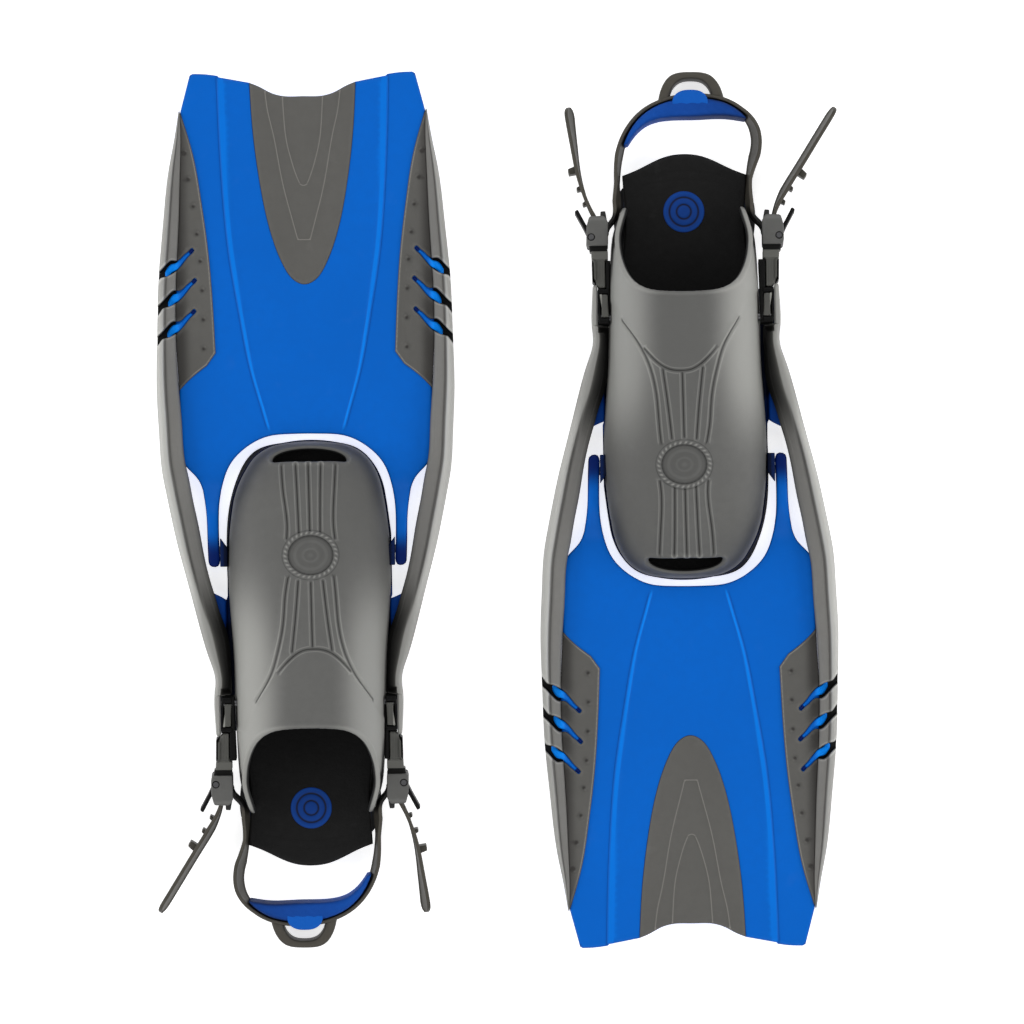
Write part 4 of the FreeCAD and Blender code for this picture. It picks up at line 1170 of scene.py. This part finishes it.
def ribbon(route, lean, end_round=0):
    """A strap on edge along a route, leaning by share of its length, with its far end rounded."""
    line = spline(route, 1.8)
    run = run_of(line)
    t, h = STRAP_THICK / 2, STRAP_HALF
    half = [
        (t - 0.55, h * 0.62), (t - 0.5, h * 0.68), (t, h * 0.74), (t, h * 0.92), (t * 0.8, h * 0.98),
        (t * 0.4, h),
    ]
    section = half + [(-x, y) for x, y in half[::-1]]
    section = np.array(section + [(-x, -y) for x, y in half] + [(x, -y) for x, y in half[::-1]])
    rings = []
    for at, point, side in zip(run, line, left_of(line)):
        angle = math.radians(float(np.interp(at / run[-1], *np.array(lean).T)))
        to_end = run[-1] - at
        small = math.sqrt(max(0.02, 1 - (1 - to_end / end_round) ** 2)) if to_end < end_round else 1.0
        shape = section * [1, small]
        x = shape[:, 0] * math.cos(angle) + shape[:, 1] * math.sin(angle)
        z = -shape[:, 0] * math.sin(angle) + shape[:, 1] * math.cos(angle)
        rings.append(np.column_stack([point + side * x[:, None], STRAP_Z + z]))
    return tube(rings)


def tooth(line, run, sign, at, length, proud, stand):
    """A wedge on the outer side of a tail."""
    i = int(np.searchsorted(run, at))
    forward = (line[i + 1] - line[i - 1]) / np.linalg.norm(line[i + 1] - line[i - 1])
    outward = np.array([-forward[1], forward[0]])
    outward = outward if outward[0] * sign > 0 else -outward
    p = line[i] + outward * stand
    wedge = [
        p - forward * length / 2, p - forward * length / 2 + outward * proud,
        p + forward * length / 4 + outward * proud, p + forward * length / 2,
    ]
    return plate(corners(wedge, 0.6, 0.8), STRAP_Z - 6, STRAP_Z + 6, 0.5, 1.5)


def build_strap():
    parts = [ribbon(HEEL_ROUTE, HEEL_LEANS)]
    for sign, (tail, leans, stand) in TAILS.items():
        a = np.linspace(0, math.pi, 7)
        turn = np.column_stack([-3.5 * np.cos(a), 3.5 * np.sin(a)]) + TURN_CENTRE
        parts.append(ribbon(sided(turn, sign), [(0, 0), (1, 0)]))
        parts.append(ribbon(tail, leans, end_round=8))
        line = spline(tail, 0.5)
        parts += [tooth(line, run_of(line), sign, *shape, stand) for shape in TEETH]
    band = loop([LOOP_OUTER, LOOP_INNER[::-1]], 1.4)
    parts.append(plate(band, STRAP_Z - 9, STRAP_Z + 9, 2.3, 1.5))
    verts, faces = join(*parts)
    u, v, z = verts.T
    # painted highlight on the strap's top edge, painted shade down its lower half and on the stretch
    # inboard of the buckles
    painted_shading = 0.3 * smooth((z - STRAP_Z - 8.2) / 0.6) - 0.45 * smooth((STRAP_Z - 1 - z) / 8)
    painted_shading -= 1.3 * smooth((v + 214) / 5) * (np.abs(u) < 57)
    piece(
        "ratchet_strap", (tipped(verts), faces), STRAP, "strap_body",
        stands_for=["heel_strap"], painted_shading=painted_shading,
    )


def build_heel_pad():
    route = spline(HEEL_ROUTE, 1.2)
    start, end = [int(np.argmin(np.hypot(*(route - p).T))) for p in PAD_ENDS]
    outer = (route + left_of(route) * (STRAP_THICK / 2 + 0.5))[start : end + 1]
    outline = loop([PAD_INNER, outer[::-1]], 1.6)
    half = 12.0

    def swell(p):
        return 0.5 * np.cos(p[:, 0] * 0.4 + p[:, 1] * 0.5) ** 2

    body = plate(outline, STRAP_Z - half, STRAP_Z + half - 0.4, 3.4, 1.8, relief=swell)
    lip = plate(loop([PAD_LIP], 1.0), STRAP_Z + 9.3, STRAP_Z + 12.2, 1.0, 1.2)
    away = distance(body[0][:, :2], edges_of(outline))
    # painted light growing across the pad towards its right, painted shade along its edges, painted
    # highlight on the lip
    painted_shading = smooth((body[0][:, 0] + 40) / 90) * 0.7 - 0.35 - 0.5 * bump(away, 1.2)
    verts, faces = join(body, lip)
    piece(
        "foam_heel_pad", (tipped(verts), faces), PAD, "strap_body",
        stands_for=["heel_pad"],
        painted_shading=np.r_[painted_shading, np.full(len(lip[0]), 0.55)],
    )


# ---------------- buckles

FRAME_BLOCK = [
    (54.0, -131.6), (62.8, -131.6), (63.2, -160), (67, -162.2), (67.3, -177.6), (52.9, -177.4),
    (53.3, -165), (53.8, -150),
]
BUTTON_WINDOW = [(55.2, -135.8), (61.2, -135.8), (62.0, -153.4), (55.8, -153.4)]
TONGUE_WINDOW = [(57.0, -157.0), (62.6, -157.0), (66.4, -163.2), (66.4, -178.4), (57.0, -178.4)]
BUTTON = [(55.6, -136.4), (60.6, -136.4), (60.4, -152.8), (56.2, -152.8)]
WEDGE = [(60.5, -143.6), (61.9, -153.1), (60.2, -153.1)]
TONGUE = [
    (57.8, -157.8), (62.2, -157.8), (65.6, -163.8), (65.8, -178), (67.3, -178.4), (67.6, -184.4),
    (55.6, -184.4), (55.6, -178.4), (57.8, -178),
]
TONGUE_STRIP = [(64.0, -163.2), (65.8, -164.2), (66.0, -177.4), (64.4, -177.4)]
TONGUE_NECK = [(55.8, -184.2), (68.6, -184.2), (69.4, -190), (55.8, -190)]
HEAD_PLATE = [
    (55.4, -187.8), (70.2, -187.8), (71, -191), (70.8, -202), (68.8, -209.2), (58.0, -209.6),
    (55.2, -205),
]
HEAD_WALL = [(55.8, -188.4), (70.3, -188.4), (70.5, -191.6), (56, -191.6)]
LEVER_PIN = (67.5, -194)
HEAD_FOOT = [(56, -206.5), (61, -206.5), (60.6, -213), (57.2, -213.2)]
LEVER_ARM = [(66, -195.6), (69.4, -194), (73.4, -202.4), (79.4, -213.4), (77.0, -215.2), (71.6, -205)]
TONGUE_FLOOR = [(56.6, -156.6), (66.6, -162.6), (67.0, -180), (56.2, -180)]
BUTTON_FLOOR = [(55.2, -135.6), (61.8, -135.6), (61.8, -153.6), (55.4, -153.6)]
BRIDGE = [(55.2, -153.8), (63.2, -153.8), (63.2, -156.8), (55.2, -156.8)]
POST_BAR = [(55.2, -131.8), (62.4, -131.8), (62.4, -135.6), (55.2, -135.6)]


def block(outline, sign, low, high, radius=0.6, step=1.5, cuts=(), relief=None, round_by=0.8):
    """A plate on one side of the strap, low and high from its middle height."""
    cuts = [corners(sided(c, sign), 0.6, 1.0) if len(c) < 12 else sided(c, sign) for c in cuts]
    outline = corners(sided(outline, sign), round_by, 1.0)
    return plate(outline, STRAP_Z + low, STRAP_Z + high, radius, step, cuts, relief=relief)


def buckle_piece(name, side, parts, look, node, painted_shading, body="strap_body"):
    verts, faces = join(*parts)
    u, v, z = verts.T
    piece(
        f"{name}_{side}", (tipped(verts), faces), look, body,
        stands_for=[f"{node}_{side}"], painted_shading=painted_shading(np.abs(u), v, z - STRAP_Z),
    )


def stripes(u, middle, pitch):
    return np.cos((u - middle) * 2 * math.pi / pitch) ** 2


def build_housing(side, sign):
    """The black frame with its two windows, floors and cross bars."""
    inset = 1.0 if sign > 0 else -0.6
    around = [(x + inset * (x < 55), y) for x, y in FRAME_BLOCK]
    parts = [
        block(around, sign, -8, 8, 0.7, cuts=[BUTTON_WINDOW, TONGUE_WINDOW]),
        block(TONGUE_FLOOR, sign, -8, -6.4, 0.3),
        block(BUTTON_FLOOR, sign, -7, -1, 0.4),
        block(BRIDGE, sign, 6, 9),
        block(POST_BAR, sign, 6, 8.8),
    ]

    # painted highlight on the top of the housing's inner edge
    def painted_shading(u, v, z):
        return 0.5 * smooth((z - 7.9) / 0.3) * (u < 54.6)

    buckle_piece("buckle_housing", side, parts, BLACK, "buckle_frame", painted_shading)


def build_latch(side, sign):
    """The grey clip, striped on its tongue, with a bar and a neck behind."""

    def bars(p):
        u, v = np.abs(p[:, 0]), p[:, 1]
        return 0.3 * stripes(u, 60, 2.4) * (v > -177) + 1.6 * smooth((-178.2 - v) / 0.5)

    # painted highlights on the tongue's ribs and shade between them, lighter at its end by the button,
    # a painted highlight on the bar behind, painted shade on the neck
    def painted_shading(u, v, z):
        striped = 0.45 * stripes(u, 60, 2.4) - 0.35 + smooth((v + 164) / 6) * 0.3
        return np.where(v < -184.3, -1.0, np.where(v > -177.5, striped, 0.25) * (z > 4))

    parts = [
        block(TONGUE, sign, -6, 6.4, 0.5, 0.5, relief=bars),
        block(TONGUE_STRIP, sign, 5, 7.6, 0.4),
        block(TONGUE_NECK, sign, -6, 4.5, 0.5),
    ]
    buckle_piece("buckle_latch", side, parts, GREY, "buckle_tongue", painted_shading)


def build_button(side, sign):
    """The ribbed button with a light wedge beside it."""

    def ribs(p):
        return 0.35 * stripes(np.abs(p[:, 0]), 57.2, 1.5)

    parts = [block(BUTTON, sign, 1.3, 8.2, 0.6, 0.4, relief=ribs), block(WEDGE, sign, 1.3, 8, 0.2)]

    # painted highlights on the ribs' tops and shade between them; the wedge is made light all over
    def painted_shading(u, v, z):
        shade = (0.6 * stripes(u, 57.2, 1.5) - 0.3) * (z > 6)
        return np.where(np.arange(len(u)) < len(parts[0][0]), shade, 1.0)

    body = f"button_body_{side}"
    buckle_piece("buckle_button", side, parts, GREY, "release_button", painted_shading, body)


def build_head(side, sign):
    """Two cheeks, the wall before them, the bar that the strap turns round and a small foot."""
    low, high = -STRAP_HALF - 3.5, STRAP_HALF + 0.5
    pin = np.array(LEVER_PIN) * [sign, 1]
    hole = circle(*LEVER_PIN, 2.05)

    def dished(p):
        return 0.3 * bump(np.hypot(*(p - pin).T) - 3.3, 0.5) - 0.5 * smooth((-206 - p[:, 1]) / 4)

    bar = circle(sign * TURN_CENTRE[0], TURN_CENTRE[1], 2.0)
    parts = [
        block(HEAD_PLATE, sign, low, low + 3, 0.8, 1.4, cuts=[hole], round_by=1.6),
        block(HEAD_PLATE, sign, high, high + 3, 0.9, 1.2, cuts=[hole], relief=dished, round_by=1.6),
        block(HEAD_WALL, sign, low + 1, high + 0.8),
        plate(bar, STRAP_Z + low + 1, STRAP_Z + high + 2, 0.3, 1.0),
        block(HEAD_FOOT, sign, high - 9, high + 0.4, 0.8),
    ]

    # a painted highlight across the back of the cheeks, a dark disc round the pin, and painted shade
    # below the top cheek's upper face
    def painted_shading(u, v, z):
        round_pin = smooth((3.0 - np.hypot(u - LEVER_PIN[0], v - LEVER_PIN[1])) / 0.5)
        return 0.25 * bump(v + 207, 1.5) - round_pin - 0.8 * smooth((high + 2.2 - z) / 0.8)

    buckle_piece("buckle_cheeks", side, parts, HEAD, "buckle_head", painted_shading)


def build_lever(side, sign):
    """A ring on its pin and an arm with finger grooves."""

    def grooved(p):
        return 0.4 * np.cos(p[:, 1] * 1.6) ** 2 * (p[:, 1] < -205)

    # a painted highlight on the lever's top face
    def painted_shading(u, v, z):
        return 0.25 * smooth((z - 6.8) / 0.3)

    ring, hole = [sided(circle(*LEVER_PIN, radius), sign) for radius in (3.4, 2.1)]
    parts = [
        plate(ring, STRAP_Z - 7, STRAP_Z + 7, 0.4, 1.0, cuts=[hole]),
        block(LEVER_ARM, sign, -7, 7, 1.1, 1.0, round_by=1.4, relief=grooved),
    ]
    body = f"lever_body_{side}"
    buckle_piece("quick_lever", side, parts, BLACK, "release_lever", painted_shading, body)


build_blade()
build_insert()
for hand in SIDES.items():
    build_panel(*hand)
    build_gill_cores(*hand)
build_rails()
build_pocket()
build_frame()
build_footbed()
build_strap()
build_heel_pad()
for hand in SIDES.items():
    for build in (build_housing, build_latch, build_button, build_head, build_lever):
        build(*hand)

# ---------------- carried-over CAD pieces

for name, node in frame["nodes"].items():
    if node.hide_render:
        continue
    look, slot = (SOLE, "sole_rubber") if name.startswith("sole_pad") else (STEEL, "pin_steel")
    node.data.materials.clear()
    node.data.materials.append(look)

# ---------------- floor, light and camera


def floor_look(colour, rough, glow):
    """A plain painted surface with a faint mottle, and a little glow of its own."""
    look = Look("floor_white")
    spots = look.node("TexNoise", Scale=3.0).outputs["Fac"]
    tint = look.mix(spots, colour, [c * 0.99 for c in colour[:3]] + [1.0])
    return look.finish(
        Base_Color=tint, Roughness=rough, Specular_IOR_Level=0.1,
        Emission_Color=(1, 1, 1, 1), Emission_Strength=glow,
    )


mesh = bpy.data.meshes.new("studio_floor")
far = 8
floor_corners = [(x * far, y * far, -0.001) for x, y in ((-1, -1), (1, -1), (1, 1), (-1, 1))]
mesh.from_pydata(floor_corners, [], [(0, 1, 2, 3)])
mesh.materials.append(floor_look([0.9, 0.9, 0.9, 1.0], rough=0.9, glow=0.7))
floor = bpy.data.objects.new("studio_floor", mesh)
bpy.context.scene.collection.objects.link(floor)

scene = bpy.context.scene
scene.world = scene.world or bpy.data.worlds.new("studio")
scene.world.use_nodes = True
sky = scene.world.node_tree.nodes["Background"]
sky.inputs["Color"].default_value = (1.0, 1.0, 1.0, 1.0)
sky.inputs["Strength"].default_value = 0.4


def soft_light(name, where, size, power):
    data = bpy.data.lights.new(name, "AREA")
    data.shape = "RECTANGLE"
    data.size, data.size_y = size
    data.energy = power
    lamp = bpy.data.objects.new(name, data)
    lamp.location = where
    lamp.rotation_mode = "QUATERNION"
    lamp.rotation_quaternion = (-Vector(where)).to_track_quat("-Z", "Y")
    scene.collection.objects.link(lamp)


for side, sign in SIDES.items():
    soft_light(f"end_softbox_{side}", (0.0, sign * 1.9, 2.0), (1.6, 1.0), 15)
    soft_light(f"side_softbox_{side}", (sign * 2.2, 0.0, 1.1), (1.0, 1.8), 22)

camera = bpy.data.objects.new("camera", bpy.data.cameras.new("camera"))
scene.collection.objects.link(camera)
WIDTH, HEIGHT = 0.737, 10.0
camera.location = (0.0104, -0.0017, HEIGHT)
camera.rotation_euler = (0, 0, math.radians(-0.65))
camera.data.sensor_width = 36
camera.data.lens = 36 * (HEIGHT - 0.014) / WIDTH
camera.data.clip_end = 50
scene.camera = camera
scene.view_settings.view_transform = "Standard"
